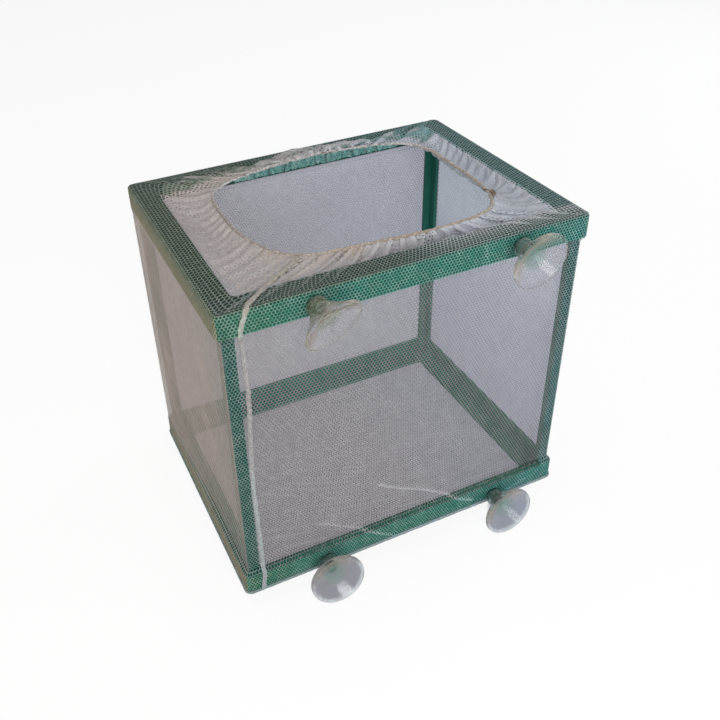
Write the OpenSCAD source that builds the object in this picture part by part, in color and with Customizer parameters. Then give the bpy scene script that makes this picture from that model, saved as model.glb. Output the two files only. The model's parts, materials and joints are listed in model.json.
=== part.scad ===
// Net fish breeding box: two plastic rings on four posts, a net bag pulled over
// them with an elastic mouth, and four suction cups on pegs at the front.
// Millimetres. The origin is the centre of the underside, +Z is up, -Y faces the glass.

/* [Rings] */
// Outer width of both rings, left to right
frame_w = 169; // [140:1:200]
// Outer depth of both rings, front to back
frame_d = 126; // [108:1:160]
// Height of the frame, from the underside of the bottom ring to the top of the top ring
frame_h = 153; // [100:1:200]
// Height of each ring's skirt, with its flange
skirt_h = 10.5; // [9:0.5:16]
// Wall of the skirts and flanges
ring_wall = 2.0; // [1.4:0.1:2.6]
// Width of each flange, from the ring's outer edge to its opening
flange_w = 10.5; // [9:0.5:13]
// Radius of the rings' upright corners
ring_corner_r = 2.6; // [1.5:0.1:4]
// Radius along the outer edge of each flange
edge_r = 0.8; // [0.4:0.1:1.2]

/* [Posts] */
// Leg of each angled post along the front and back
post_leg_x = 5.2; // [4:0.2:6.6]
// Leg of each angled post along the sides
post_leg_y = 6.4; // [4:0.2:6.6]
// Wall of the posts
post_wall = 1.6; // [1:0.1:2.2]
// Gap between a post and the skirts around it
post_gap = 0.4; // [0.2:0.1:0.7]
// Gap at each end of a post
post_end_gap = 0.1; // [0.05:0.05:0.4]
// Height of the sockets that hold the posts' ends
socket_h = 4; // [2:0.5:6]
// Wall of the sockets
socket_wall = 1.2; // [0.8:0.1:1.6]

/* [Net bag] */
// Thickness of the net
net_t = 0.4; // [0.3:0.1:0.6]
// Gap between the net walls and the posts
net_gap = 0.3; // [0.3:0.1:0.6]
// Height over which the net draws in from a ring to the posts
net_draw_h = 3; // [2:0.5:6]
// Openings across the front and back walls, a coarse grid in place of the fine mesh
mesh_columns_wide = 12; // [6:1:12]
// Openings across the left and right walls
mesh_columns_deep = 9; // [4:1:12]
// Openings up each wall
mesh_rows = 10; // [6:1:12]
// Width of the net between two openings
mesh_bar = 3.4; // [2:0.2:4]
// Thickness of the seam allowances on the outside of the net
seam_t = 0.5; // [0.4:0.1:0.8]
// Width of the side seam
seam_w = 2.6; // [2:0.2:4]
// Distance from the left edge of the rings to the middle of the side seam
seam_inset = 9.5; // [8:0.5:16]
// Turn of the seam where it crosses the collar, from the left-right direction
seam_turn = 38; // [30:1:50]
// Height of the seam that joins the base to the walls
base_seam_h = 1.8; // [1:0.2:2.4]
// Length of each stitch
stitch_l = 2.4; // [1.6:0.2:3]
// Distance between stitches
stitch_pitch = 3.6; // [3.2:0.2:6]
// Thickness of the sewing thread
thread_t = 0.35; // [0.3:0.05:0.5]

/* [Mouth] */
// Distance from the top ring's opening to the middle of the hem, at the left
mouth_gap_left = 18.6; // [8:0.2:20]
// Distance from the top ring's opening to the middle of the hem, at the right
mouth_gap_right = 13.4; // [8:0.2:20]
// Distance from the top ring's opening to the middle of the hem, at the front
mouth_gap_front = 10.4; // [3:0.2:12]
// Distance from the top ring's opening to the middle of the hem, at the back
mouth_gap_back = 1.6; // [1.6:0.2:6]
// Corner radius of the mouth at the back left
mouth_r_back_left = 42; // [20:1:42]
// Corner radius of the mouth at the back right
mouth_r_back_right = 30; // [20:1:42]
// Corner radius of the mouth at the front right
mouth_r_front_right = 20; // [18:1:42]
// Corner radius of the mouth at the front left
mouth_r_front_left = 32; // [20:1:42]
// Outer diameter of the rolled hem
hem_d = 3.0; // [2.6:0.1:4]
// Diameter of the elastic
elastic_d = 1.4; // [1:0.1:1.6]
// Gap between the elastic and the hem around it
elastic_gap = 0.2; // [0.1:0.05:0.3]
// Gap between the hem and the collar
hem_gap = 0.3; // [0.3:0.1:0.6]
// Diameter of the knot in the elastic
knot_d = 4.0; // [3.4:0.2:5]
// Length of the elastic's two tails past the knot
tail_l = 4; // [2:0.5:6]
// Turn of the knot around the mouth's front right corner, from the right
knot_turn = -14; // [-60:1:-12]

/* [Suction cups] */
// Distance from the left end of the rings to the left pegs
cup_inset_left = 39.5; // [28:0.5:46]
// Distance from the right end of the rings to the right pegs
cup_inset_right = 36.5; // [28:0.5:46]
// Height of the upper pegs below the top of the top ring
upper_peg_drop = 5.2; // [4.4:0.2:6]
// Height of the lower pegs above the underside of the bottom ring
lower_peg_rise = 3.6; // [3.4:0.2:6]
// Diameter of the pegs
peg_d = 4.2; // [3.6:0.1:4.8]
// How far the bead near a peg's tip stands out
peg_bead = 0.35; // [0.2:0.05:0.5]
// Length of a peg inside its cup
peg_reach = 6.0; // [5:0.25:6.5]
// Radial clearance of a cup on its peg
swivel_clear = 0.06; // [0.03:0.01:0.1]
// Gap between a cup's hub and what it faces
cup_gap = 0.3; // [0.3:0.1:0.8]
// Diameter of the hub
hub_d = 8.6; // [7.8:0.1:9.6]
// Length of the hub
hub_l = 7.4; // [7.2:0.2:9]
// Diameter of the neck between hub and disc
neck_d = 6.6; // [5.6:0.2:7.4]
// Diameter of the disc
disc_d = 26; // [22:1:32]
// Depth from the neck's bend to the rim
disc_h = 6.2; // [5:0.2:8]
// Thickness of the disc
disc_t = 1.3; // [1:0.1:1.6]
// Width of the flat lip around the rim
lip_w = 1.0; // [0.6:0.1:1.4]
// Droop of the upper left disc on its neck
upper_left_droop = 14; // [-16:1:16]
// Turn of the upper left disc to the right
upper_left_turn = 9; // [-16:1:16]
// Droop of the upper right disc on its neck
upper_right_droop = 6; // [-16:1:16]
// Turn of the upper right disc to the right
upper_right_turn = 2; // [-16:1:16]
// Droop of the lower left disc on its neck
lower_left_droop = -8; // [-16:1:16]
// Turn of the lower left disc to the right
lower_left_turn = -3; // [-16:1:16]
// Droop of the lower right disc on its neck
lower_right_droop = -4; // [-16:1:16]
// Turn of the lower right disc to the right
lower_right_turn = 1; // [-16:1:16]

/* [Hidden] */
$fn = 96;

GREEN = [0.16, 0.55, 0.38];
WHITE_NET = [0.86, 0.90, 0.88];
SEAM_WHITE = [0.93, 0.93, 0.91];
THREAD = [0.80, 0.78, 0.74];
ELASTIC = [0.72, 0.62, 0.50];
CLEAR_PVC = [0.80, 0.88, 0.78];

// Heights and half sizes that several pieces share
overlap = 0.5;
base_top = net_t;
frame_top = base_top + frame_h;
box_top = frame_top + net_t;
half_w = frame_w / 2;
half_d = frame_d / 2;
net_half_w = half_w + net_t;
net_half_d = half_d + net_t;
net_corner_r = ring_corner_r + net_t;
post_inset = ring_wall + post_gap;
net_draw = post_inset - net_gap;
// The openings stop beside the side seam, and as far from each other corner
mesh_margin = seam_inset + seam_w;
post_l = frame_h - 2 * ring_wall - 2 * post_end_gap;
upper_peg_z = frame_top - upper_peg_drop;
lower_peg_z = base_top + lower_peg_rise;
seam_x = -half_w + seam_inset;
hem_r = hem_d / 2;
hem_z = frame_top + net_t / 2;
elastic_r = elastic_d / 2;
casing_bore_r = elastic_r + elastic_gap;
peg_r = peg_d / 2;
bead_r = peg_r + peg_bead;
// A hub starts clear of the seams, and a peg runs from its skirt into the hub
hub_back_y = -net_half_d - seam_t - cup_gap;
peg_l = -hub_back_y - half_d + peg_reach;
bead_l = 1.6;
bead_lead = 0.8;
bead_slope = 0.4;
hub_edge_r = 1.2;
// The disc's section is drawn in this many steps, and its back bows out by this power
disc_steps = 8;
disc_bow = 0.8;
peg_hole_r = bead_r + cup_gap;
cup_left_x = cup_inset_left - half_w;
cup_right_x = half_w - cup_inset_right;
// Sides of the mouth, and the middles of its four corner arcs
mouth_left = flange_w + mouth_gap_left - half_w;
mouth_right = half_w - flange_w - mouth_gap_right;
mouth_front = flange_w + mouth_gap_front - half_d;
mouth_back = half_d - flange_w - mouth_gap_back;
arc_back_left = [mouth_left + mouth_r_back_left, mouth_back - mouth_r_back_left];
arc_back_right = [mouth_right - mouth_r_back_right, mouth_back - mouth_r_back_right];
arc_front_right = [mouth_right - mouth_r_front_right, mouth_front + mouth_r_front_right];
arc_front_left = [mouth_left + mouth_r_front_left, mouth_front + mouth_r_front_left];
slot_l = knot_d + 2 * hem_gap;
tail_spread = 20;

// ---- shared shapes ----

// A rectangle with round corners, centred
module round_rect(w, d, r) {
    square([w - 2 * r, d], center = true);
    square([w, d - 2 * r], center = true);
    for (sx = [-1, 1], sy = [-1, 1])
        translate([sx * (w / 2 - r), sy * (d / 2 - r)])
            circle(r);
}

// Inside of one corner of the mouth: the square corner less the round one
module corner_cut(at, r, turn) {
    translate(at)
        rotate(turn)
            difference() {
                square(2 * r);
                circle(r);
                translate([-r, 0])
                    square([r, r]);
            }
}

// Outline of the mouth along its hem, grown on all sides
module mouth_outline(grow) {
    difference() {
        translate([mouth_left - grow, mouth_front - grow])
            square([mouth_right - mouth_left + 2 * grow, mouth_back - mouth_front + 2 * grow]);
        corner_cut(arc_back_left, mouth_r_back_left + grow, 90);
        corner_cut(arc_back_right, mouth_r_back_right + grow, 0);
        corner_cut(arc_front_right, mouth_r_front_right + grow, -90);
        corner_cut(arc_front_left, mouth_r_front_left + grow, 180);
    }
}

// The section of a loop along the mouth, swept by straights and arcs
module loop_side(from, length, turn) {
    translate([from[0], from[1], hem_z])
        rotate([90, 0, turn])
            linear_extrude(length)
                children();
}

module loop_corner(at, r, turn) {
    translate([at[0], at[1], hem_z])
        rotate(turn)
            rotate_extrude(angle = 90)
                translate([r, 0])
                    children();
}

module mouth_loop() {
    loop_side([mouth_left, arc_back_left[1]], arc_back_left[1] - arc_front_left[1], 0)
        children();
    loop_side([mouth_right, arc_back_right[1]], arc_back_right[1] - arc_front_right[1], 0)
        children();
    loop_side([arc_back_left[0], mouth_back], arc_back_right[0] - arc_back_left[0], 90)
        children();
    loop_side([arc_front_left[0], mouth_front], arc_front_right[0] - arc_front_left[0], 90)
        children();
    loop_corner(arc_back_left, mouth_r_back_left, 90)
        children();
    loop_corner(arc_back_right, mouth_r_back_right, 0)
        children();
    loop_corner(arc_front_right, mouth_r_front_right, -90)
        children();
    loop_corner(arc_front_left, mouth_r_front_left, 180)
        children();
}

// ---- rings ----

// What the round edge takes off one straight side, outer corner at the origin
module edge_waste_2d() {
    difference() {
        translate([-edge_r, -edge_r])
            square(2 * edge_r);
        translate([-edge_r, -edge_r])
            circle(edge_r);
    }
}

// Rounds the outer top edge of a ring whose top is at z = 0
module edge_waste() {
    straight_x = frame_w - 2 * ring_corner_r;
    straight_y = frame_d - 2 * ring_corner_r;
    for (turn = [0, 180])
        rotate(turn) {
            translate([half_w, straight_y / 2, 0])
                rotate([90, 0, 0])
                    linear_extrude(straight_y)
                        edge_waste_2d();
            translate([-straight_x / 2, half_d, 0])
                rotate([90, 0, 90])
                    linear_extrude(straight_x)
                        edge_waste_2d();
        }
    for (sx = [0, 1], sy = [0, 1])
        mirror([sx, 0, 0])
            mirror([0, sy, 0])
                translate([half_w - ring_corner_r, half_d - ring_corner_r, 0])
                    rotate_extrude(angle = 90)
                        translate([ring_corner_r, 0])
                            edge_waste_2d();
}

// Socket that holds the end of one post, under the flange
module post_socket() {
    inner_x = post_inset + post_leg_x + post_gap / 2;
    inner_y = post_inset + post_leg_y + post_gap / 2;
    translate([half_w - inner_x - socket_wall, half_d - inner_y - socket_wall, -ring_wall - socket_h])
        difference() {
            cube([inner_x + socket_wall - ring_wall / 2, inner_y + socket_wall - ring_wall / 2,
                  socket_h + ring_wall / 2]);
            translate([socket_wall, socket_wall, -overlap])
                cube([inner_x, inner_y, socket_h + ring_wall + 2 * overlap]);
        }
}

// One peg, out of the front of the skirt, with a bead that holds the cup
module peg() {
    bead_from = peg_l - bead_l - bead_lead;
    rotate([90, 0, 0])
        rotate_extrude()
            polygon([
                [0, -ring_wall / 2],
                [peg_r, -ring_wall / 2],
                [peg_r, bead_from],
                [bead_r, bead_from + bead_slope],
                [bead_r, bead_from + bead_l - bead_slope],
                [peg_r, bead_from + bead_l],
                [peg_r - bead_lead / 2, peg_l],
                [0, peg_l]
            ]);
}

// A ring with its flange's face at z = 0 and its skirt below, pegs at peg_z
module ring(peg_z) {
    difference() {
        translate([0, 0, -skirt_h])
            linear_extrude(skirt_h)
                round_rect(frame_w, frame_d, ring_corner_r);
        translate([0, 0, -skirt_h - overlap])
            linear_extrude(skirt_h - ring_wall + overlap)
                round_rect(frame_w - 2 * ring_wall, frame_d - 2 * ring_wall, ring_corner_r - ring_wall / 2);
        translate([0, 0, -ring_wall - overlap])
            linear_extrude(ring_wall + 2 * overlap)
                round_rect(frame_w - 2 * flange_w, frame_d - 2 * flange_w, ring_corner_r);
        edge_waste();
    }
    for (sx = [0, 1], sy = [0, 1])
        mirror([sx, 0, 0])
            mirror([0, sy, 0])
                post_socket();
    for (x = [cup_left_x, cup_right_x])
        translate([x, -half_d, peg_z])
            peg();
}

module top_frame() {
    color(GREEN)
        translate([0, 0, frame_top])
            ring(upper_peg_z - frame_top);
}

module bottom_frame() {
    color(GREEN)
        translate([0, 0, base_top])
            mirror([0, 0, 1])
                ring(base_top - lower_peg_z);
}

// ---- posts ----

// The post of the back right corner, an angle whose legs follow the skirts
module corner_post() {
    color(GREEN)
        translate([0, 0, base_top + ring_wall + post_end_gap])
            linear_extrude(post_l)
                translate([half_w - post_inset, half_d - post_inset])
                    difference() {
                        translate([-post_leg_x, -post_leg_y])
                            square([post_leg_x, post_leg_y]);
                        translate([-2 * post_leg_x, -2 * post_leg_y])
                            square([2 * post_leg_x - post_wall, 2 * post_leg_y - post_wall]);
                    }
}

module post_back_right() corner_post();
module post_back_left() mirror([1, 0, 0]) corner_post();
module post_front_right() mirror([0, 1, 0]) corner_post();
module post_front_left() mirror([1, 0, 0]) mirror([0, 1, 0]) corner_post();

// ---- net bag ----

// Outline of the bag from one side: full width at the rings, drawn in between them
module drawn_profile(half, low, high) {
    low_ring = base_top + skirt_h;
    high_ring = frame_top - skirt_h;
    side = [
        [half, low],
        [half, low_ring],
        [half - net_draw, low_ring + net_draw_h],
        [half - net_draw, high_ring - net_draw_h],
        [half, high_ring],
        [half, high]
    ];
    polygon(concat(side, [for (i = [5:-1:0]) [-side[i][0], side[i][1]]]));
}

// The bag as a full body, grown outwards, from z = low to z = high
module bag(grow, low, high) {
    intersection() {
        rotate([90, 0, 90])
            translate([0, 0, -frame_w])
                linear_extrude(2 * frame_w)
                    drawn_profile(net_half_d + grow, low, high);
        rotate([90, 0, 0])
            translate([0, 0, -frame_d])
                linear_extrude(2 * frame_d)
                    drawn_profile(net_half_w + grow, low, high);
        translate([0, 0, low])
            linear_extrude(high - low)
                round_rect(2 * (net_half_w + grow), 2 * (net_half_d + grow), net_corner_r + grow);
    }
}

// Plan of one wall, mitred at 45 degrees at both ends
module mitre(half_side, half_out) {
    reach = half_out / 2;
    polygon([
        [-half_side - reach, -half_out - reach],
        [half_side + reach, -half_out - reach],
        [half_side - reach, -half_out + reach],
        [-half_side + reach, -half_out + reach]
    ]);
}

module wall(turn, half_side, half_out) {
    intersection() {
        difference() {
            bag(0, base_top, frame_top);
            bag(-net_t, base_top - overlap, frame_top + overlap);
        }
        translate([0, 0, base_top])
            linear_extrude(frame_h)
                rotate(turn)
                    mitre(half_side, half_out);
    }
}

// Grid of openings through the flat stretch of one wall
module wall_openings(turn, half_side, half_out, columns) {
    low = base_top + skirt_h + net_draw_h + mesh_bar;
    high = frame_top - skirt_h - net_draw_h - mesh_bar;
    left = mesh_margin - half_side;
    pitch_x = (mesh_bar - 2 * left) / columns;
    pitch_z = (high - low + mesh_bar) / mesh_rows;
    rotate(turn)
        translate([0, net_draw + net_t + overlap - half_out, 0])
            rotate([90, 0, 0])
                linear_extrude(net_draw + net_t + 2 * overlap)
                    for (i = [0:columns - 1], j = [0:mesh_rows - 1])
                        translate([left + i * pitch_x, low + j * pitch_z])
                            square([pitch_x - mesh_bar, pitch_z - mesh_bar]);
}

module net_wall(turn, half_side, half_out, columns) {
    color(WHITE_NET, 0.5)
        difference() {
            wall(turn, half_side, half_out);
            wall_openings(turn, half_side, half_out, columns);
        }
}

module net_front() {
    color(WHITE_NET, 0.5)
        difference() {
            net_wall(0, net_half_w, net_half_d, mesh_columns_wide);
            for (x = [cup_left_x, cup_right_x], z = [lower_peg_z, upper_peg_z])
                translate([x, -half_d + overlap, z])
                    rotate([90, 0, 0])
                        cylinder(h = 4 * overlap, r = peg_hole_r);
        }
}

module net_back() net_wall(180, net_half_w, net_half_d, mesh_columns_wide);
module net_left() net_wall(-90, net_half_d, net_half_w, mesh_columns_deep);
module net_right() net_wall(90, net_half_d, net_half_w, mesh_columns_deep);

module net_base() {
    color(WHITE_NET, 0.5)
        linear_extrude(net_t)
            round_rect(2 * net_half_w, 2 * net_half_d, net_corner_r);
}

module net_collar() {
    color(WHITE_NET, 0.5)
        translate([0, 0, frame_top])
            linear_extrude(net_t)
                difference() {
                    round_rect(2 * net_half_w, 2 * net_half_d, net_corner_r);
                    mouth_outline(hem_r + hem_gap);
                }
}

// ---- mouth ----

// Puts a piece at the knot, with +X pointing out of the mouth
module at_knot() {
    translate([arc_front_right[0], arc_front_right[1], hem_z])
        rotate(knot_turn)
            translate([mouth_r_front_right, 0, 0])
                children();
}

// Rolled hem, a tube around the mouth with a slot where the elastic is knotted
module hem_casing() {
    color(SEAM_WHITE)
        difference() {
            mouth_loop()
                difference() {
                    circle(hem_r);
                    circle(casing_bore_r);
                }
            at_knot()
                translate([-hem_d, -slot_l / 2, -hem_d])
                    cube([2 * hem_d, slot_l, 2 * hem_d]);
        }
}

module elastic_cord() {
    color(ELASTIC) {
        mouth_loop()
            circle(elastic_r);
        at_knot() {
            sphere(d = knot_d);
            for (side = [-1, 1])
                rotate([0, side * tail_spread, 180])
                    rotate([0, 90, 0])
                        cylinder(h = knot_d / 2 + tail_l, r = elastic_r);
        }
    }
}

// ---- seams ----

// Plan of the side seam: square to the front, then turned towards the mouth
module seam_plan(w) {
    translate([seam_x - w / 2, -2 * net_half_d])
        square([w, net_half_d]);
    translate([seam_x, -net_half_d])
        rotate(seam_turn)
            translate([-w, -w / 2])
                square([net_half_w, w]);
}

module side_seam() {
    color(SEAM_WHITE)
        difference() {
            intersection() {
                bag(seam_t, base_seam_h, box_top + seam_t);
                union() {
                    translate([seam_x - seam_w / 2, -2 * net_half_d, base_seam_h])
                        cube([seam_w, net_half_d + net_draw + seam_w, box_top + seam_t]);
                    translate([0, 0, frame_top])
                        linear_extrude(2 * seam_t + net_t)
                            seam_plan(seam_w);
                }
            }
            bag(0, 0, box_top);
            linear_extrude(2 * box_top)
                mouth_outline(hem_r + hem_gap);
        }
}

// Stitches down the middle of the side seam
module side_stitching() {
    face_y = -net_half_d - seam_t;
    low = base_top + skirt_h + net_draw_h;
    count = floor((frame_top - skirt_h - net_draw_h - low) / stitch_pitch);
    color(THREAD)
        for (i = [0:count - 1])
            translate([seam_x - thread_t / 2, face_y + net_draw - thread_t, low + i * stitch_pitch])
                cube([thread_t, thread_t, stitch_l]);
}

module base_seam() {
    color(SEAM_WHITE)
        linear_extrude(base_seam_h)
            difference() {
                round_rect(2 * (net_half_w + seam_t), 2 * (net_half_d + seam_t), net_corner_r + seam_t);
                round_rect(2 * net_half_w, 2 * net_half_d, net_corner_r);
            }
}

// ---- suction cups ----

// Bore of the hub, from its open back, with a groove for the peg's bead
module hub_bore() {
    bore_r = peg_r + swivel_clear;
    groove_r = bead_r + swivel_clear;
    bead_from = peg_reach - bead_l - bead_lead - swivel_clear;
    depth = peg_reach + cup_gap;
    rotate_extrude()
        polygon([
            [0, -overlap],
            [bore_r, -overlap],
            [bore_r, bead_from],
            [groove_r, bead_from + bead_slope],
            [groove_r, bead_from + bead_l - bead_slope + 2 * swivel_clear],
            [bore_r, bead_from + bead_l + 2 * swivel_clear],
            [bore_r, depth],
            [0, depth]
        ]);
}

// Section of the disc from its neck to its rim, the bend at the origin
module disc_section() {
    r = disc_d / 2;
    neck_r = neck_d / 2;
    back = [for (i = [0:disc_steps])
        let (u = i / disc_steps)
        [neck_r + (r - neck_r) * u, (disc_h - disc_t) * pow(u, disc_bow)]];
    front = [for (i = [disc_steps:-1:0])
        let (u = i / disc_steps)
        [(r - lip_w) * u, disc_h - (disc_h - 2 * disc_t) / 2 * (1 - u * u)]];
    polygon(concat([[0, -neck_r]], [[neck_r, -neck_r]], back, [[r, disc_h]], front));
}

// A cup with the back of its hub at the origin and its disc, turned on the neck, towards +Z
module suction_cup(droop, turn) {
    difference() {
        union() {
            rotate_extrude() {
                translate([0, hub_edge_r])
                    square([hub_d / 2, hub_l - 2 * hub_edge_r]);
                square([hub_d / 2 - hub_edge_r, hub_l]);
                for (z = [hub_edge_r, hub_l - hub_edge_r])
                    translate([hub_d / 2 - hub_edge_r, z])
                        circle(hub_edge_r);
            }
            translate([0, 0, hub_l])
                rotate([droop, turn, 0]) {
                    sphere(d = neck_d);
                    rotate_extrude()
                        disc_section();
                }
        }
        hub_bore();
    }
}

module placed_cup(x, z, droop, turn) {
    color(CLEAR_PVC, 0.6)
        translate([x, hub_back_y, z])
            rotate([90, 0, 0])
                suction_cup(droop, turn);
}

module suction_cup_upper_left() {
    placed_cup(cup_left_x, upper_peg_z, upper_left_droop, upper_left_turn);
}

module suction_cup_upper_right() {
    placed_cup(cup_right_x, upper_peg_z, upper_right_droop, upper_right_turn);
}

module suction_cup_lower_left() {
    placed_cup(cup_left_x, lower_peg_z, lower_left_droop, lower_left_turn);
}

module suction_cup_lower_right() {
    placed_cup(cup_right_x, lower_peg_z, lower_right_droop, lower_right_turn);
}

top_frame();
bottom_frame();
post_front_left();
post_front_right();
post_back_left();
post_back_right();
net_front();
net_back();
net_left();
net_right();
net_base();
net_collar();
hem_casing();
elastic_cord();
side_seam();
side_stitching();
base_seam();
suction_cup_upper_left();
suction_cup_upper_right();
suction_cup_lower_left();
suction_cup_lower_right();
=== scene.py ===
import json
import math

import bpy
import numpy as np
from mathutils import Matrix, Vector


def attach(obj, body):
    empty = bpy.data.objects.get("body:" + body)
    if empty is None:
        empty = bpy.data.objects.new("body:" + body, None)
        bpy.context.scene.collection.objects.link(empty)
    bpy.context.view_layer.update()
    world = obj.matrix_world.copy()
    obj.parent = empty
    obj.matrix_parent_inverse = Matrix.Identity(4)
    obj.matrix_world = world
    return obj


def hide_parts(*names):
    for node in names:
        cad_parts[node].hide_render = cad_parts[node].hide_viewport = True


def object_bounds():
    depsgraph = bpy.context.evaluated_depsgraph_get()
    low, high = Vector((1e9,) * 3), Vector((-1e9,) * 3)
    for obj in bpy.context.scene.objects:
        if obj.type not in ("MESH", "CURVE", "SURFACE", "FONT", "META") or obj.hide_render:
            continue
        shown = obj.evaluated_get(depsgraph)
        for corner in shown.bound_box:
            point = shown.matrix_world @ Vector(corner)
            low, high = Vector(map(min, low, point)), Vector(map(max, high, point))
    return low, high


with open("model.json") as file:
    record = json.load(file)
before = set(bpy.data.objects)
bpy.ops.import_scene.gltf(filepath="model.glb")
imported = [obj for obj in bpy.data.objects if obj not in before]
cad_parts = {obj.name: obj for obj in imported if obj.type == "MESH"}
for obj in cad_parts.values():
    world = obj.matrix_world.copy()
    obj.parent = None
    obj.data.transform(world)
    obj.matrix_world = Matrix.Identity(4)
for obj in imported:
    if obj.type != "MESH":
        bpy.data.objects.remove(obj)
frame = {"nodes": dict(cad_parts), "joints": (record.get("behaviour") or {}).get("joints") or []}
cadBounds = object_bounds()

# Places and sizes are in millimetres where nothing else is said, and finished meshes are scaled to metres.
mm = 0.001


# Small helpers

def clearSelection():
    if bpy.context.object and bpy.context.object.mode != "OBJECT":
        bpy.ops.object.mode_set(mode="OBJECT")
    bpy.ops.object.select_all(action="DESELECT")


def onlySelect(piece):
    clearSelection()
    piece.select_set(True)
    bpy.context.view_layer.objects.active = piece


def smoothStep(value, low, high):
    share = np.clip((value - low) / (high - low), 0, 1)
    return share * share * (3 - 2 * share)


def readPoints(piece):
    points = np.empty(len(piece.data.vertices) * 3)
    piece.data.vertices.foreach_get("co", points)
    return points.reshape(-1, 3)


def writePoints(piece, points):
    piece.data.vertices.foreach_set("co", np.ascontiguousarray(points).ravel())
    piece.data.update()


def writeNumber(piece, name, values):
    layer = piece.data.attributes.new(name, "FLOAT", "POINT")
    layer.data.foreach_set("value", np.ascontiguousarray(values, dtype=np.float32))


def shadeSmooth(piece, angle=None):
    onlySelect(piece)
    if angle is None:
        bpy.ops.object.shade_smooth()
    else:
        bpy.ops.object.shade_smooth_by_angle(angle=math.radians(angle))


def meshPiece(name, points, faces):
    mesh = bpy.data.meshes.new(name)
    mesh.from_pydata([tuple(p) for p in points], [], faces)
    mesh.update()
    piece = bpy.data.objects.new(name, mesh)
    bpy.context.collection.objects.link(piece)
    return piece


def copyOf(piece, name):
    made = piece.copy()
    made.data = piece.data.copy()
    made.name = made.data.name = name
    bpy.context.collection.objects.link(made)
    return made


def unit(vectors):
    return vectors / np.maximum(np.linalg.norm(vectors, axis=-1, keepdims=True), 1e-9)


def alongPath(path, closed=False):
    if closed:
        return unit(np.roll(path, -1, axis=0) - np.roll(path, 1, axis=0))
    return unit(np.gradient(path, axis=0))


def evenSteps(path, count, closed=False):
    line = np.vstack([path, path[:1]]) if closed else path
    reach = np.concatenate([[0], np.cumsum(np.linalg.norm(np.diff(line, axis=0), axis=1))])
    stops = np.linspace(0, reach[-1], count, endpoint=not closed)
    return np.stack([np.interp(stops, reach, line[:, k]) for k in range(line.shape[1])], axis=1)


def curveThrough(points, perSpan, closed=False):
    # a smooth curve through the points, with the same number of steps on each span
    points = np.asarray(points, dtype=float)
    count = len(points)
    spans = count if closed else count - 1
    steps = np.linspace(0, 1, perSpan, endpoint=False)[:, None]
    curve = []
    for span in range(spans):
        picks = [span - 1, span, span + 1, span + 2]
        a, b, c, d = (points[k % count] if closed else points[min(max(k, 0), count - 1)] for k in picks)
        curve.append(b + 0.5 * steps * (c - a + steps * (2 * a - 5 * b + 4 * c - d
                     + steps * (3 * (b - c) + d - a))))
    if not closed:
        curve.append(points[-1:])
    return np.vstack(curve)


def sweep(name, path, side, up, section, closed=False):
    # section is one closed outline, or one for each step of the path
    steps = len(path)
    section = np.asarray(section, dtype=float)
    if section.ndim == 2:
        section = np.broadcast_to(section, (steps, *section.shape))
    around = section.shape[1]
    points = (path[:, None] + side[:, None] * section[:, :, :1] + up[:, None] * section[:, :, 1:])
    faces = []
    for row in range(steps if closed else steps - 1):
        here, there = row * around, (row + 1) % steps * around
        for k in range(around):
            after = (k + 1) % around
            faces.append((here + k, here + after, there + after, there + k))
    if not closed:
        faces.append(tuple(reversed(range(around))))
        faces.append(tuple(range((steps - 1) * around, steps * around)))
    piece = meshPiece(name, points.reshape(-1, 3) * mm, faces)
    onlySelect(piece)
    bpy.ops.object.mode_set(mode="EDIT")
    bpy.ops.mesh.select_all(action="SELECT")
    bpy.ops.mesh.normals_make_consistent(inside=False)
    bpy.ops.object.mode_set(mode="OBJECT")
    shadeSmooth(piece, 50)
    return piece


# Measures taken from the frame

def cornersOf(node):
    # the lowest and the highest corner of a CAD piece
    points = readPoints(frame["nodes"][node]) / mm
    return [[round(float(v), 2) for v in corner] for corner in (points.min(axis=0), points.max(axis=0))]


ringLow, ringHigh = cornersOf("top_frame")
postLow, postHigh = cornersOf("post_back_right")
ringHalf, ringTop = ringHigh[:2], ringHigh[2]    # half sizes left to right and front to back
upperSkirt = ringLow[2]                          # underside of the upper ring's skirt
lowerSkirt = cornersOf("bottom_frame")[1][2]     # top of the lower ring's skirt
flange = 10.5                                    # how far both rings reach in
mouthHalf = [half - flange for half in ringHalf]
swivels = {joint["child"]: [round(v / mm, 2) for v in joint["pos_m"]] for joint in frame["joints"]}


# Materials

class Term:
    # one output of a node, with which sums can be written
    def __init__(self, tree, socket):
        self.tree = tree
        self.socket = socket

    def maths(self, operation, first, second=0.0):
        return self.tree.node("ShaderNodeMath", {"operation": operation}, {0: first, 1: second})

    def __add__(self, other):
        return self.maths("ADD", self, other)

    def __sub__(self, other):
        return self.maths("SUBTRACT", self, other)

    def __rsub__(self, other):
        return self.maths("SUBTRACT", other, self)

    def __mul__(self, other):
        return self.maths("MULTIPLY", self, other)

    __radd__ = __add__
    __rmul__ = __mul__

    def __abs__(self):
        return self.maths("ABSOLUTE", self)

    def atLeast(self, other):
        return self.maths("MAXIMUM", self, other)


class NodeTree:
    # the nodes of a material or of the world, which end in the node called last
    def __init__(self, tree, last):
        self.nodes = tree.nodes
        self.links = tree.links
        self.last = last

    def node(self, kind, settings=None, inputs=None, output=0):
        made = self.nodes.new(kind)
        for key, value in (settings or {}).items():
            setattr(made, key, value)
        for key, value in (inputs or {}).items():
            if isinstance(value, Term):
                self.links.new(value.socket, made.inputs[key])
            else:
                made.inputs[key].default_value = value
        return Term(self, made.outputs[output])

    def seen(self):
        # 1 where the camera looks straight, off a glossy face or through a clear one
        straight, glossy, through = (self.node("ShaderNodeLightPath", output=ray)
                                     for ray in ("Is Camera Ray", "Is Glossy Ray", "Is Transmission Ray"))
        return straight.atLeast(glossy).atLeast(through)

    def finishWith(self, term):
        self.links.new(term.socket, self.nodes[self.last].inputs["Surface"])


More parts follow.
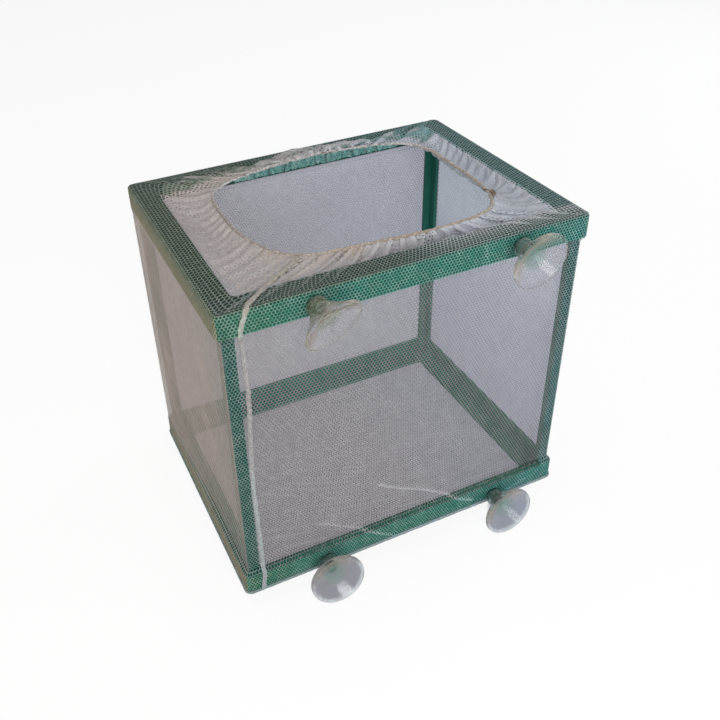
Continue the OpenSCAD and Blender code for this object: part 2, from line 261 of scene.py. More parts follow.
class Paint(NodeTree):
    # a material built on the shader that a new material comes with
    def __init__(self, name, **shaderValues):
        self.material = bpy.data.materials.new(name)
        self.material.use_nodes = True
        super().__init__(self.material.node_tree, "Material Output")
        self.shader = self.nodes["Principled BSDF"]
        for key, value in shaderValues.items():
            self.shader.inputs[key.replace("_", " ")].default_value = value

    def surface(self):
        return Term(self, self.shader.outputs[0])

    def place(self):
        return self.node("ShaderNodeTexCoord", output="Object")

    def axis(self, which):
        return self.node("ShaderNodeSeparateXYZ", None, {0: self.place()}, which)

    def attribute(self, name, output="Fac"):
        return self.node("ShaderNodeAttribute", {"attribute_name": name}, output=output)

    def noise(self, size, detail=3.0, stretch=(1, 1, 1), rough=0.55):
        # size is the width of one blot in millimetres
        spread = [s / (size * mm) for s in stretch]
        placed = self.node("ShaderNodeVectorMath", {"operation": "MULTIPLY"}, {0: self.place(), 1: spread})
        return self.node("ShaderNodeTexNoise", {"noise_dimensions": "3D"},
                         {"Vector": placed, "Scale": 1.0, "Detail": detail, "Roughness": rough})

    def band(self, value, low, high, start=0.0, end=1.0):
        return self.node("ShaderNodeMapRange", {"interpolation_type": "SMOOTHSTEP"},
                         {"Value": value, "From Min": low, "From Max": high, "To Min": start, "To Max": end})

    def mix(self, share, first, second, blend="MIX"):
        inputs = {0: share}
        for key, colour in ((6, first), (7, second)):
            inputs[key] = colour if isinstance(colour, Term) else (*colour, 1)
        return self.node("ShaderNodeMix", {"data_type": "RGBA", "blend_type": blend}, inputs, 2)

    def spot(self, centre, radius):
        # 1 at the centre, 0 at the radius, both in millimetres
        away = self.node("ShaderNodeVectorMath", {"operation": "DISTANCE"},
                         {0: self.place(), 1: [c * mm for c in centre]}, "Value")
        return self.band(away, 0.0, radius * mm, 1.0, 0.0)

    def feed(self, socket, term):
        self.links.new(term.socket, self.shader.inputs[socket])

    def bump(self, height, depth, strength=1.0):
        # depth in millimetres
        self.feed("Normal", self.node("ShaderNodeBump", None,
                                      {"Strength": strength, "Distance": depth * mm, "Height": height}))


def dress(piece, paint):
    piece.data.materials.clear()
    piece.data.materials.append(paint.material)


green = {
    "deep": (0.007, 0.050, 0.038), "plain": (0.011, 0.064, 0.048), "streak": (0.016, 0.076, 0.058),
    "dust": (0.13, 0.17, 0.15),
    "filmAndTopShade": (0.013, 0.026, 0.017), "topShadeDepth": 0.7,    # painted shade: the top of the upper ring is darker, to this depth
}
# Each green: its CAD pieces, painted light and shade on the outer and the inner faces as factors on its
# colour, and where the outer ones stand
frameGreensAndLight = {
    "greenPlastic": (("top_frame",), (1, 1, 1), (1, 1, 1), ringHalf),
    "greenBase": (("bottom_frame",), (1, 1, 1), (1.0, 2.0, 1.85), ringHalf),
    "greenPosts": (("post_front_left", "post_front_right", "post_back_left", "post_back_right"),
                   (0.75, 0.75, 0.75), (1.9, 2.1, 2.1), postHigh),
}


def greenPlastic(name, outer, inner, faces):
    paint = Paint(name, Specular_IOR_Level=0.12)
    cloud = paint.noise(38, 3)
    flow = paint.noise(9, 4, (1, 1, 0.25))
    grain = paint.noise(0.55, 2)
    dust = paint.band(paint.noise(1.4, 5, rough=0.7), 0.62, 0.74)
    tone = paint.mix(paint.band(cloud, 0.3, 0.7), green["deep"], green["plain"])
    tone = paint.mix(paint.band(flow, 0.45, 0.75) * 0.35, tone, green["streak"])
    # painted light and shade: the inner faces of the lower ring and of the posts lighter, the outer faces of
    # the posts darker
    across, along = (paint.band(abs(paint.axis(k)), (faces[k] - 0.4) * mm, (faces[k] - 0.1) * mm, 1, 0)
                     for k in (0, 1))
    litAndShaded = (paint.mix(1.0, tone, paintedLight, "MULTIPLY") for paintedLight in (outer, inner))
    tone = paint.mix(across * along, *litAndShaded)
    tone = paint.mix(dust * 0.15, tone, green["dust"])
    # painted shade: the top of the upper ring is darker, and more matte
    filmAndTopShade = paint.band(paint.axis(2), (ringTop - green["topShadeDepth"]) * mm, ringTop * mm) * (0.55 + 0.35 * cloud)
    tone = paint.mix(filmAndTopShade, tone, green["filmAndTopShade"])
    paint.feed("Base Color", tone)
    paint.feed("Roughness", 0.40 + 0.14 * flow + 0.12 * dust + 0.25 * filmAndTopShade)
    paint.bump(grain * 0.5 + flow * 0.9 + dust * 0.3, 0.05, 0.7)
    return paint


# lighter slubs in the thread, and duller blotches at random
netSlubsAndBlotches = {"bright": (0.62, 0.62, 0.60), "dull": (0.20, 0.18, 0.16)}
collarGrime = [  # centre, radius, strength, colour
    ((-30, -38, 154), 9, 0.7, (0.33, 0.24, 0.17)),
    ((-18, -41, 154), 8, 0.7, (0.36, 0.27, 0.20)),
    ((-48, -30, 154), 10, 0.4, (0.36, 0.27, 0.20)),
]


def netThread(name, grime=(), seeThrough=False):
    # seeThrough: the thread lets some of what lies behind it show
    paint = Paint(name, Specular_IOR_Level=0.06)
    tone = paint.attribute("threadTone", "Color")
    slub = paint.noise(2.6, 4, rough=0.65)
    cloud = paint.noise(24, 3)
    tone = paint.mix(paint.band(slub, 0.35, 0.7) * 0.22, tone, netSlubsAndBlotches["bright"])
    tone = paint.mix(paint.band(cloud, 0.62, 0.3) * 0.16, tone, netSlubsAndBlotches["dull"])
    for centre, radius, share, colour in grime:
        stain = paint.spot(centre, radius) * paint.band(paint.noise(5, 3), 0.25, 0.6) * share
        tone = paint.mix(stain, tone, colour)
    paint.feed("Base Color", tone)
    paint.feed("Roughness", 0.48 + 0.2 * slub)
    if seeThrough:
        paint.feed("Alpha", paint.attribute("threadTone", "Alpha"))
    paint.bump(paint.noise(0.22, 2), 0.03, 0.6)
    return paint


def clothStrip(name, light, dark):
    # doubled net: mostly its own threadTone, with the weave in it
    paint = Paint(name, Specular_IOR_Level=0.25, Sheen_Weight=0.1)
    cloud = paint.noise(11, 4)
    fibre = paint.noise(0.45, 3)
    cross = paint.node("ShaderNodeTexVoronoi", {"feature": "F1"},
                       {"Vector": paint.place(), "Scale": 1 / (1.1 * mm)})
    tone = paint.mix(paint.band(cloud, 0.35, 0.7), light, dark)
    tone = paint.mix(0.75, tone, paint.attribute("threadTone", "Color"))
    tone = paint.mix(paint.band(cross, 0.25, 0.6, 0.0, 0.5), tone, [0.55 * c for c in dark])
    paint.feed("Base Color", tone)
    paint.feed("Roughness", 0.55 + 0.25 * fibre)
    paint.bump(fibre * 0.6 - cross, 0.12, 0.8)
    return paint


def twistedThread(name, light, dark, pitch):
    paint = Paint(name, Specular_IOR_Level=0.3)
    wave = paint.node("ShaderNodeTexWave", {"wave_type": "BANDS", "bands_direction": "DIAGONAL"},
                      {"Vector": paint.place(), "Scale": 0.32 / (pitch * mm), "Distortion": 1.2})
    tone = paint.mix(wave, dark, light)
    paint.feed("Base Color", tone)
    paint.feed("Roughness", 0.5 + 0.2 * paint.noise(0.5, 2))
    paint.bump(wave, 0.05, 0.8)
    return paint


clear = {
    # lowFace: painted shade, greyer and bluer, on the lower cups
    "face": (0.97, 0.97, 0.98), "cloudy": (0.92, 0.92, 0.93), "lowFace": (0.75, 0.795, 0.84),
    "hub": (0.62, 0.65, 0.52), "coolHub": (0.57, 0.70, 0.66),    # cool: all cups but the upper left one
    "rind": (0.27, 0.225, 0.18), "hubRind": (0.19, 0.22, 0.15), "coolHubRind": (0.16, 0.25, 0.225),
}


def clearPlastic():
    # soft clear plastic: clear face on, brownish where it is seen edge on, cloudy in the hub, with painted
    # shade on the lower cups
    paint = Paint("clearPvc", Transmission_Weight=1.0, IOR=1.03, Specular_IOR_Level=0.5, Coat_Roughness=0.14,
                  Coat_IOR=1.5)
    cloud = paint.noise(6, 3)
    filmAndTopShade = paint.noise(14, 2)
    thick = paint.attribute("thick")
    facing = paint.node("ShaderNodeLayerWeight", None, {"Blend": 0.5}, "Facing")
    # painted shade: the lower cups are greyer and bluer
    low = paint.band(paint.axis(2), 90 * mm, 50 * mm)
    cool = low + paint.band(paint.axis(0), -20 * mm, 20 * mm)
    face = paint.mix(paint.band(cloud, 0.3, 0.75), clear["face"], clear["cloudy"])
    face = paint.mix(low, face, clear["lowFace"])
    paint.feed("Base Color", paint.mix(thick, face, paint.mix(cool, clear["hub"], clear["coolHub"])))
    paint.feed("Roughness", 0.01 + 0.03 * filmAndTopShade)
    paint.feed("Coat Weight", 0.6 * paint.band(facing, 0.9, 0.55))
    paint.bump(paint.noise(7, 2), 0.02, 0.2)
    hubRind = paint.mix(cool, clear["hubRind"], clear["coolHubRind"])
    rind = paint.node("ShaderNodeBsdfPrincipled", None,
                      {"Base Color": paint.mix(thick, clear["rind"], hubRind), "Roughness": 0.35})
    share = paint.band(facing, 0.40, 0.85) * 0.62 + thick * 0.22
    paint.finishWith(paint.node("ShaderNodeMixShader", None, {0: share, 1: paint.surface(), 2: rind}))
    return paint


# The bag's shape

bag = {
    "halfWidth": ringHalf[0] + 0.2,    # middle of the net, left to right
    "halfDepth": ringHalf[1] + 0.2,
    "corner": 2.85,                    # radius of the upright corners
    "edge": 1.2,                       # radius over the upper ring's outer edge
    "low": 0.2,
    "top": ringTop + 0.25,
    "draw": 2.1, "drawHeight": 3.0,    # how far the net draws in between the rings, and over what height
    "slack": 0.85,                     # share of that draw which is missing near the back left corner
}
netCell = {"pitch": 1.5, "thread": 0.46, "ridge": 0.1}
panels = {  # name: outward direction, columns, rows, how far the net wanders
    "netFront": ((0, -1), 112, 118, 0.35),
    "netRight": ((1, 0), 84, 118, 0.4),
    "netBack": ((0, 1), 112, 118, 0.45),
    "netLeft": ((-1, 0), 84, 118, 0.7),
}
cellHeight = math.sqrt(3) / 2
wallStraight = bag["top"] - bag["edge"] - bag["low"]
wallLength = wallStraight + bag["edge"] * math.pi / 2
pegHole = 2.85    # radius of the net's hole around a peg


def noiseAlong(values, lengths, seed):
    # a repeatable mix of waves with these lengths
    rng = np.random.default_rng(seed)
    total = np.zeros_like(values)
    for length in lengths:
        total += np.sin(2 * math.pi * values / length + rng.uniform(0, 2 * math.pi))
    return total / len(lengths)


def ripples(values, whole, counts, seed):
    # the same, with the number of waves on the whole length
    return noiseAlong(values, [whole / count for count in counts], seed)


def wander(u, v, seed, sizes):
    # waves of these sizes across a surface, each in its own direction
    rng = np.random.default_rng(seed)
    total = np.zeros_like(u)
    for size in sizes:
        turn = rng.uniform(0, math.pi)
        total += np.sin(2 * math.pi * (u * math.cos(turn) + v * math.sin(turn)) / size + rng.uniform(0, 6.3))
    return total / len(sizes)


def toLine(u, v, line):
    # distance to a broken line
    best = np.full(u.shape, 1e9)
    for (u0, v0), (u1, v1) in zip(line[:-1], line[1:]):
        share = np.clip(((u - u0) * (u1 - u0) + (v - v0) * (v1 - v0))
                        / ((u1 - u0) ** 2 + (v1 - v0) ** 2), 0, 1)
        best = np.minimum(best, np.hypot(u - u0 - share * (u1 - u0), v - v0 - share * (v1 - v0)))
    return best


def flatNet(name, columns, rows):
    # a flat net of six-sided holes, columns wide and rows high, cut square at its edges
    pitch = netCell["pitch"]
    rise = pitch * cellHeight
    clearSelection()
    bpy.ops.mesh.primitive_circle_add(vertices=6, radius=pitch / math.sqrt(3), fill_type="NGON")
    net = bpy.context.object
    net.name = net.data.name = name
    bpy.ops.object.mode_set(mode="EDIT")
    bpy.ops.mesh.select_all(action="SELECT")
    bpy.ops.mesh.inset(thickness=netCell["thread"] / 2, depth=-netCell["ridge"])
    bpy.ops.mesh.delete(type="FACE")
    bpy.ops.mesh.select_all(action="SELECT")
    bpy.ops.mesh.duplicate_move(TRANSFORM_OT_translate={"value": (pitch / 2, rise, 0)})
    bpy.ops.object.mode_set(mode="OBJECT")
    for count, step in ((columns + 1, (pitch, 0, 0)), (rows // 2 + 1, (0, 2 * rise, 0))):
        array = net.modifiers.new("repeat", "ARRAY")
        array.use_relative_offset = False
        array.use_constant_offset = True
        array.constant_offset_displace = step
        array.count = count
        bpy.ops.object.modifier_apply(modifier=array.name)
    bpy.ops.object.mode_set(mode="EDIT")
    bpy.ops.mesh.select_all(action="SELECT")
    bpy.ops.mesh.remove_doubles(threshold=0.02)
    for place, out in (((0, 0, 0), (-1, 0, 0)), ((columns * pitch, 0, 0), (1, 0, 0)),
                       ((0, 0, 0), (0, -1, 0)), ((0, rows * rise, 0), (0, 1, 0))):
        bpy.ops.mesh.select_all(action="SELECT")
        bpy.ops.mesh.bisect(plane_co=place, plane_no=out, clear_outer=True, threshold=0.001)
    bpy.ops.object.mode_set(mode="OBJECT")
    points = readPoints(net)
    return net, points[:, 0] / pitch, points[:, 1] / rise, points[:, 2]


def closeHoles(column, row, ridge, share):
    # moves each hole's edge towards its middle, so that threads look thick where the net bunches up
    even = np.stack([np.round(column), 2 * np.round(row / 2)])
    odd = np.stack([np.round(column - 0.5) + 0.5, 2 * np.round((row - 1) / 2) + 1])
    here = np.stack([column, row])
    stretch = np.array([[1.0], [cellHeight]])
    nearEven = np.sum(((here - even) * stretch) ** 2, axis=0) < np.sum(((here - odd) * stretch) ** 2, axis=0)
    middle = np.where(nearEven, even, odd)
    inner = ridge < -netCell["ridge"] / 2
    moved = np.where(inner, middle + (here - middle) * share, here)
    return moved[0], moved[1]


def drawnIn(height):
    reach = bag["drawHeight"]
    return (bag["draw"] * smoothStep(height, lowerSkirt, lowerSkirt + reach)
            * (1 - smoothStep(height, upperSkirt - reach, upperSkirt)))


def drawShare(plan):
    # the net hardly draws in towards the back left corner
    return 1 - bag["slack"] * smoothStep(-plan[:, 0], 20, 80) * smoothStep(plan[:, 1], -30, 50)


def halfAlong(out):
    # half the bag's size along a wall that faces this way
    return bag["halfWidth"] if out[0] == 0 else bag["halfDepth"]


def outline(along, out, inset):
    # a point of the bag's plan: along is measured on one side from its middle
    out = np.asarray(out, dtype=float)
    right = np.array([-out[1], out[0]])
    depth = halfAlong(right)
    straight = halfAlong(out) - bag["corner"]
    turn = np.clip((np.abs(along) - straight) / bag["corner"], 0, None)
    radius = bag["corner"] - inset
    flat = np.clip(along, -straight, straight)
    sideways = flat + np.sign(along) * radius * np.sin(turn)
    outwards = depth - bag["corner"] + radius * np.cos(turn)
    normal = right * (np.sign(along) * np.sin(turn))[:, None] + out * np.cos(turn)[:, None]
    return right * sideways[:, None] + out * outwards[:, None], normal


def sideLength(out):
    return 2 * (halfAlong(out) - bag["corner"]) + bag["corner"] * math.pi / 2


# Tones of the thread, by what it lies over and by the light from the left and the right: painted green light
# and shade from the plastic behind it, and painted light and shade by side
threadTones = {
    "skirt": (0.055, 0.238, 0.190),
    "skirtGreen": (0.062, 0.190, 0.115),
    "skirtBlue": (0.058, 0.270, 0.250),
    "hanging": (0.070, 0.215, 0.205),
    "skirtLeft": (0.235, 0.215, 0.130),
    "skirtLeftTop": (0.120, 0.165, 0.090),
    "lowBand": (0.115, 0.140, 0.135),
    "lowLeft": (0.140, 0.180, 0.150),
    "flangeLeft": (0.135, 0.168, 0.124),
    "flangeFront": (0.160, 0.192, 0.175),
    "flangeBack": (0.110, 0.150, 0.115),
    "flangeRight": (0.135, 0.250, 0.262),
    "paleLeft": (0.275, 0.258, 0.245),
    "paleRight": (0.36, 0.375, 0.40),
    "postLeft": (0.076, 0.160, 0.152),
    "postRight": (0.110, 0.215, 0.235),
    "crease": (0.190, 0.220, 0.195),
    "collarLeft": (0.39, 0.345, 0.325),
    "collarRight": (0.40, 0.43, 0.49),
    "hemFront": (0.39, 0.325, 0.265),
    "hemLeft": (0.36, 0.315, 0.285),
    "hemRight": (0.42, 0.37, 0.33),
    "hemBack": (0.52, 0.52, 0.55),
    "seamTop": (0.40, 0.36, 0.30),
    "seamSkirt": (0.34, 0.41, 0.34),
    "seamMiddle": (0.27, 0.255, 0.268),
    "seamLow": (0.28, 0.34, 0.37),
    "fold": (0.40, 0.42, 0.48),
    "bindLeft": (0.12, 0.20, 0.17),
    "bindRight": (0.24, 0.31, 0.34),
    # each wall's and the base's own tone: the same white net, painted lighter or darker by how its side is
    # lit
    "netFront": (0.272, 0.267, 0.285),
    "netRight": (0.50, 0.535, 0.64),
    "netBack": (0.41, 0.405, 0.452),
    "paintedLightRight": (0.86, 0.93, 1.0),
    "flangePaleBlue": (0.50, 0.54, 0.57),
    "netLeft": (0.40, 0.325, 0.285),
    "netBase": (0.186, 0.180, 0.203),
}
frontFolds = [  # strength, half width, then the line: across and up
    (1.0, 0.9, [(-15.5, 37.5), (-4.8, 30.6), (6.3, 24.8), (17.8, 17.4), (26.8, 10.4), (36, 5.4)]),
    (0.8, 0.8, [(-46.5, 26.8), (-31.3, 17.2), (-18, 8.4), (-9.8, 2.8), (-1.2, -2.9)]),
    (0.7, 0.8, [(67.6, 5.9), (57.4, 3.3)]),
    (0.45, 0.5, [(31.3, 152.8), (33.1, 143.4)]),
    (0.3, 0.5, [(-44, 158), (-43, 152)]),
]


def writeTones(piece, layers, solid=1.0):
    # layers of (share, tone name), each over the ones before it, and how much the thread hides
    colour = np.zeros((len(layers[0][0]), 3))
    for share, name in layers:
        colour = colour * (1 - share[:, None]) + np.array(threadTones[name]) * share[:, None]
    full = np.ones((len(colour), 4), dtype=np.float32)
    full[:, :3] = colour
    full[:, 3] = solid
    layer = piece.data.attributes.new("threadTone", "FLOAT_COLOR", "POINT")
    layer.data.foreach_set("color", full.ravel())


def toRight(x):
    # share of the painted light from the right: 0 on the left, 1 on the right
    return smoothStep(x, -45, 55)


wallShape = {
    "waves": (95, 61, 44, 33),                      # lengths of its sags
    "fromBelow": (2, 26), "fromAbove": (24, 2),     # where it comes free of the rings
    "aside": (34, 10),                              # and of the posts
    "foldDepth": 0.7, "foldClose": 0.55,
    "grain": (7.3, 5.1, 11.7, 17.9), "uneven": 0.07,    # how its holes vary
    "openings": {"netFront": (1.1, 1.1), "netRight": (1, 1), "netBack": (1, 1), "netLeft": (1, 0.8)},
    "openTurn": (30, 70),    # heights between which its holes pass from the lower size to the upper one
    "solid": 0.66,           # share of a single thread that hides what is behind it
}


def hangsFree(along, z, out):
    # 0 where the rings and the posts hold the net, 1 in the middle of a wall
    low, high, aside = wallShape["fromBelow"], wallShape["fromAbove"], wallShape["aside"]
    half = halfAlong(out)
    return (smoothStep(z, lowerSkirt + low[0], lowerSkirt + low[1])
            * (1 - smoothStep(z, upperSkirt - high[0], upperSkirt - high[1]))
            * (1 - smoothStep(np.abs(along), half - aside[0], half - aside[1])))


def foldsOf(name, along, z):
    fold = np.zeros_like(z)
    if name == "netFront":
        for strength, reach, line in frontFolds:
            fold = np.maximum(fold, strength * np.exp(-(toLine(along, z, line) / reach) ** 2))
    return fold


def wallNet(name):
    w = wallShape
    out, columns, rows, stray = panels[name]
    net, column, row, ridge = flatNet(name, columns, rows)
    along = (column / columns - 0.5) * sideLength(out)
    height = row / rows * wallLength
    over = np.clip((height - wallStraight) / bag["edge"], 0, math.pi / 2)
    z = bag["low"] + np.minimum(height, wallStraight) + bag["edge"] * np.sin(over)
    share = drawShare(outline(along, out, np.zeros_like(z))[0])
    inset = drawnIn(z) * share + bag["edge"] * (1 - np.cos(over))
    bulge = hangsFree(along, z, out) * stray * wander(along, z, columns + len(name), w["waves"])
    fold = foldsOf(name, along, z)
    bulge += w["foldDepth"] * fold
    grain = 1 + w["uneven"] * wander(along, z, rows + len(name), w["grain"])
    low, high = w["openings"][name]
    opening = low + (high - low) * smoothStep(z, *w["openTurn"])
    column, row = closeHoles(column, row, ridge, opening * grain - w["foldClose"] * fold)
    along = (column / columns - 0.5) * sideLength(out)
    z += np.where(height < wallStraight, row / rows * wallLength - height, 0)
    plan, normal = outline(along, out, inset)
    lift = ridge * np.cos(over) + bulge
    points = np.column_stack([plan + normal * lift[:, None], z + ridge * np.sin(over)])
    writePoints(net, points * mm)
    wallTones(net, name, np.abs(along), z, over / (math.pi / 2), fold)
    if name == "netFront":
        punch(net, np.min([np.hypot(points[:, 0] - x, points[:, 2] - level)
                           for x, _, level in swivels.values()], axis=0) < pegHole)
    shadeSmooth(net)
    return net


def wallTones(net, name, aside, z, turned, fold):
    # the thread's tone over the skirts, the posts and the top edge, and how much it hides: painted green
    # light and shade from the plastic behind it, and painted light and shade by side
    x, y, _ = (readPoints(net) / mm).T
    onSkirt = 1 - smoothStep(z, lowerSkirt - 0.2, lowerSkirt + 0.4)
    onSkirt = np.maximum(onSkirt, smoothStep(z, upperSkirt - 0.4, upperSkirt + 0.2))
    postFrom = postLow[0] if panels[name][0][0] == 0 else postLow[1]
    onPost = smoothStep(aside, postFrom - 0.3, postFrom + 0.3)
    right = toRight(x)
    # painted shade in a band just above the front's lower skirt, and painted light on the upper right wall
    own = {"netFront": [(1 - smoothStep(z, lowerSkirt + 2.4, lowerSkirt + 4.2), "lowBand")],
           "netRight": [(smoothStep(z, 80, 120), "paintedLightRight")], "netBack": [], "netLeft": []}[name]
    postShare = 1
    skirts = [(onSkirt, "skirt"), (onSkirt * smoothStep(-x, 35, 80), "skirtGreen"),
              (onSkirt * smoothStep(x, 20, 80), "skirtBlue")]
    # the left wall in painted shade: browner over its skirts, darker and greener low towards the front
    if name == "netLeft":
        postShare = 0.06
        corner = (1 - smoothStep(z, 10, 62)) * smoothStep(-y, -30, 50) * 0.8
        own = [(np.maximum(corner, smoothStep(-y, 20, 58) * 0.32), "lowLeft")]
        upper = onSkirt * smoothStep(z, ringTop - 6.4, ringTop - 0.4) * 0.7
        skirts = [(onSkirt, "skirtLeft"), (upper, "skirtLeftTop")]
    layers = [(np.ones_like(z), name), *own, (onPost * postShare, "postLeft"), (onPost * right, "postRight"),
              *skirts, (turned, "flangeLeft"), (turned * right, "flangeRight"), (fold * 0.35, "fold")]
    solid = wallShape["solid"]
    hiding = np.maximum(np.maximum(onSkirt, onPost), 0.6 * fold)
    writeTones(net, layers, solid + (1 - solid) * hiding)


def punch(net, inside):
    # takes these points out of the net
    onlySelect(net)
    bpy.ops.object.mode_set(mode="EDIT")
    bpy.ops.mesh.select_mode(type="VERT")
    bpy.ops.mesh.select_all(action="DESELECT")
    bpy.ops.object.mode_set(mode="OBJECT")
    net.data.vertices.foreach_set("select", inside)
    bpy.ops.object.mode_set(mode="EDIT")
    bpy.ops.mesh.delete(type="VERT")
    bpy.ops.object.mode_set(mode="OBJECT")


baseShape = {
    "pinned": (12, 30),                        # how far in from the ring it comes free
    "sag": 0.5, "uneven": 0.35, "waves": (70, 47, 38, 29),
    "crease": [(64.7, 15.5), (61.5, -2.7), (57.5, -19.4), (58.1, -30.4), (57.5, -45.5)],
    "creaseWide": 0.8, "creaseHigh": 0.5,
}


def baseNet():
    b = baseShape
    columns = round(2 * bag["halfWidth"] / netCell["pitch"])
    rows = round(2 * bag["halfDepth"] / (netCell["pitch"] * cellHeight))
    net, column, row, ridge = flatNet("netBase", columns, rows)
    x = (column / columns - 0.5) * 2 * bag["halfWidth"]
    y = (0.5 - row / rows) * 2 * bag["halfDepth"]
    # the four corners draw in to the bag's round ones
    cornerX = np.clip(np.abs(x) - (bag["halfWidth"] - bag["corner"]), 0, None)
    cornerY = np.clip(np.abs(y) - (bag["halfDepth"] - bag["corner"]), 0, None)
    reach = np.maximum(np.hypot(cornerX, cornerY), 1e-6)
    trim = np.maximum(cornerX, cornerY) / reach
    x = x - np.sign(x) * cornerX * (1 - trim)
    y = y - np.sign(y) * cornerY * (1 - trim)
    free, aside = (smoothStep(half - np.abs(v), *b["pinned"]) for v, half in zip((x, y), ringHalf))
    free = free * aside
    crease = np.exp(-(toLine(x, y, b["crease"]) / b["creaseWide"]) ** 2)
    sag = b["sag"] + b["uneven"] * wander(x, y, 5, b["waves"])
    z = bag["low"] - ridge + free * sag + b["creaseHigh"] * crease * free
    writePoints(net, np.column_stack([x, y, z]) * mm)
    onSides, onEnds = (smoothStep(np.abs(v), half - 0.4, half + 0.3) for v, half in zip((x, y), mouthHalf))
    # painted green light where the base lies over the lower ring
    writeTones(net, [(np.ones_like(x), "netBase"), (np.maximum(onSides, onEnds), "skirt"),
                     (crease * 0.6, "crease")])
    shadeSmooth(net)
    return net


mouthCourse = [  # the hem's way around the mouth, seen from above
    (-55.0, 8), (-54.2, 25), (-49.5, 36), (-38, 43.2), (-16, 48.6), (8, 51), (30, 48.8), (49.5, 43.4),
    (58.6, 33), (60.4, 14), (60.2, -10), (57.6, -26.5), (50.5, -38), (38, -42.2), (12, -43),
    (-14, -40.8), (-33, -38.8), (-44.5, -32.2), (-51.5, -19), (-54.6, -4),
]
mouthSteps = 1440


def mouthPath(count):
    curve = curveThrough(mouthCourse[::-1], 40, closed=True)
    return evenSteps(curve, count, closed=True)


def mouthPoints(share):
    # points of the hem at these shares of its length
    curve = mouthPath(mouthSteps)
    at = (share % 1.0) * mouthSteps
    low = np.floor(at).astype(int)
    part = (at - low)[:, None]
    return curve[low % mouthSteps] * (1 - part) + curve[(low + 1) % mouthSteps] * part


def shareNear(way):
    # the share of the hem's length at its point furthest out this way
    way = np.array(way) / np.linalg.norm(way)
    return np.argmax(mouthPath(mouthSteps) @ way) / mouthSteps


hem = {
    "radius": 0.72, "height": ringTop + 0.2, "steps": 900, "around": 10,
    "rise": 0.25,                                # how far it rises and falls along its course
    "swell": 0.22, "thinBack": 0.25,             # how its thickness changes slowly, and at the back
    "pucker": 0.28, "uneven": 0.12, "twist": 6,
}
collarSides = ("netFront", "netRight", "netBack", "netLeft")
collarMarks = np.cumsum([0] + [panels[side][1] for side in collarSides])    # columns at the collar's corners
collarCloth = {
    "cell": 1.5, "length": 20, "header": 4,     # cells from the ring's edge to the hem, and past it
    "steps": 300, "damping": 0.93, "weight": 0.010, "lift": 0.2,
    "start": 0.9, "jitter": 0.05, "tuck": 0.9,    # its waves, its roughness and its header before it settles
    "stretch": 0.8, "shear": 0.10, "bend": 0.25, "bendTo": 1.85,
    "keep": (0.5, 0.45, 0.8, 0.25), "softReach": 9.0,    # share of its folds that is kept, side by side
    "crumple": 0.45, "crumples": (4.3, 5.9, 8.3, 11.7),
    "bunch": 2.2, "cap": 3.4, "capCurve": 1.5, "apart": 0.2, "inset": 0.1,
    "hungTo": mouthHalf[1] - 0.6,    # how far back its header may hang
    "corners": ((-0.5, -1), (0.65, -1), (0.65, 1), (-0.5, 1)),    # where the ring's corners pull the hem
}


def clothPairs(columns, rows, across, up):
    # pairs of points of a grid that closes on itself across, in two groups that share no point
    column, row = np.meshgrid(np.arange(columns), np.arange(rows - up), indexing="xy")
    column, row = column.ravel(), row.ravel()
    first = row * columns + column
    second = (row + up) * columns + (column + across) % columns
    group = (row // up if up else column // across) % 2
    return [(first[group == k], second[group == k]) for k in (0, 1)]


def pull(points, free, first, second, length, stiff, onlyApart):
    # moves each pair along the line between them towards this length
    gap = points[second] - points[first]
    size = np.maximum(np.linalg.norm(gap, axis=1), 1e-6)
    error = np.minimum(size - length, 0) if onlyApart else size - length
    move = gap * (stiff * error / size / np.maximum(free[first] + free[second], 1))[:, None]
    points[first] += move * free[first][:, None]
    points[second] -= move * free[second][:, None]


def onFlange(x, y, soft=0.05):
    # 1 over the upper ring's flange, 0 over the opening inside it
    across, along = (smoothStep(np.abs(v), edge - 0.1 - soft, edge - 0.1 + soft)
                     for v, edge in zip((x, y), mouthHalf))
    return np.maximum(across, along)


def startCollar(outer, hemPlan):
    # the strip in waves between the ring's edge and the elastic, with its header hanging from the hem
    c = collarCloth
    columns, hemRow, rows = len(outer), c["length"], c["length"] + c["header"] + 1
    rng = np.random.default_rng(6)
    share = np.minimum(np.arange(rows) / hemRow, 1.0)[:, None, None]
    plan = outer[None] * (1 - share) + hemPlan[None] * share
    wave = ripples(np.arange(columns) / columns, 1, (47, 59, 71, 83, 37), 9)
    z = bag["top"] + c["start"] * (wave[None] + 0.5) * np.sin(math.pi * share[:, :, 0])
    z[hemRow:] = hem["height"] - c["cell"] * np.arange(rows - hemRow)[:, None] * c["tuck"]
    points = np.concatenate([plan, z[:, :, None]], axis=2)
    points += rng.normal(0, c["jitter"], points.shape)
    points[0] = np.column_stack([outer, np.full(columns, bag["top"])])
    points[hemRow, :, :2] = hemPlan
    free = np.ones((rows, columns))
    free[0] = free[hemRow] = 0
    return points.reshape(-1, 3), free.ravel()


def collarLinks(columns, rows):
    # pairs of points and the length that each is held to: along the cells, across them, and over two of them
    c = collarCloth
    slanted, straight = math.sqrt(2), c["bendTo"]
    kinds = [(1, 0, 1, "stretch"), (0, 1, 1, "stretch"), (1, 1, slanted, "shear"), (-1, 1, slanted, "shear"),
             (2, 0, straight, "bend"), (0, 2, straight, "bend")]
    return [(first, second, length * c["cell"], c[kind], kind == "bend") for across, up, length, kind in kinds
            for first, second in clothPairs(columns, rows, across, up)]


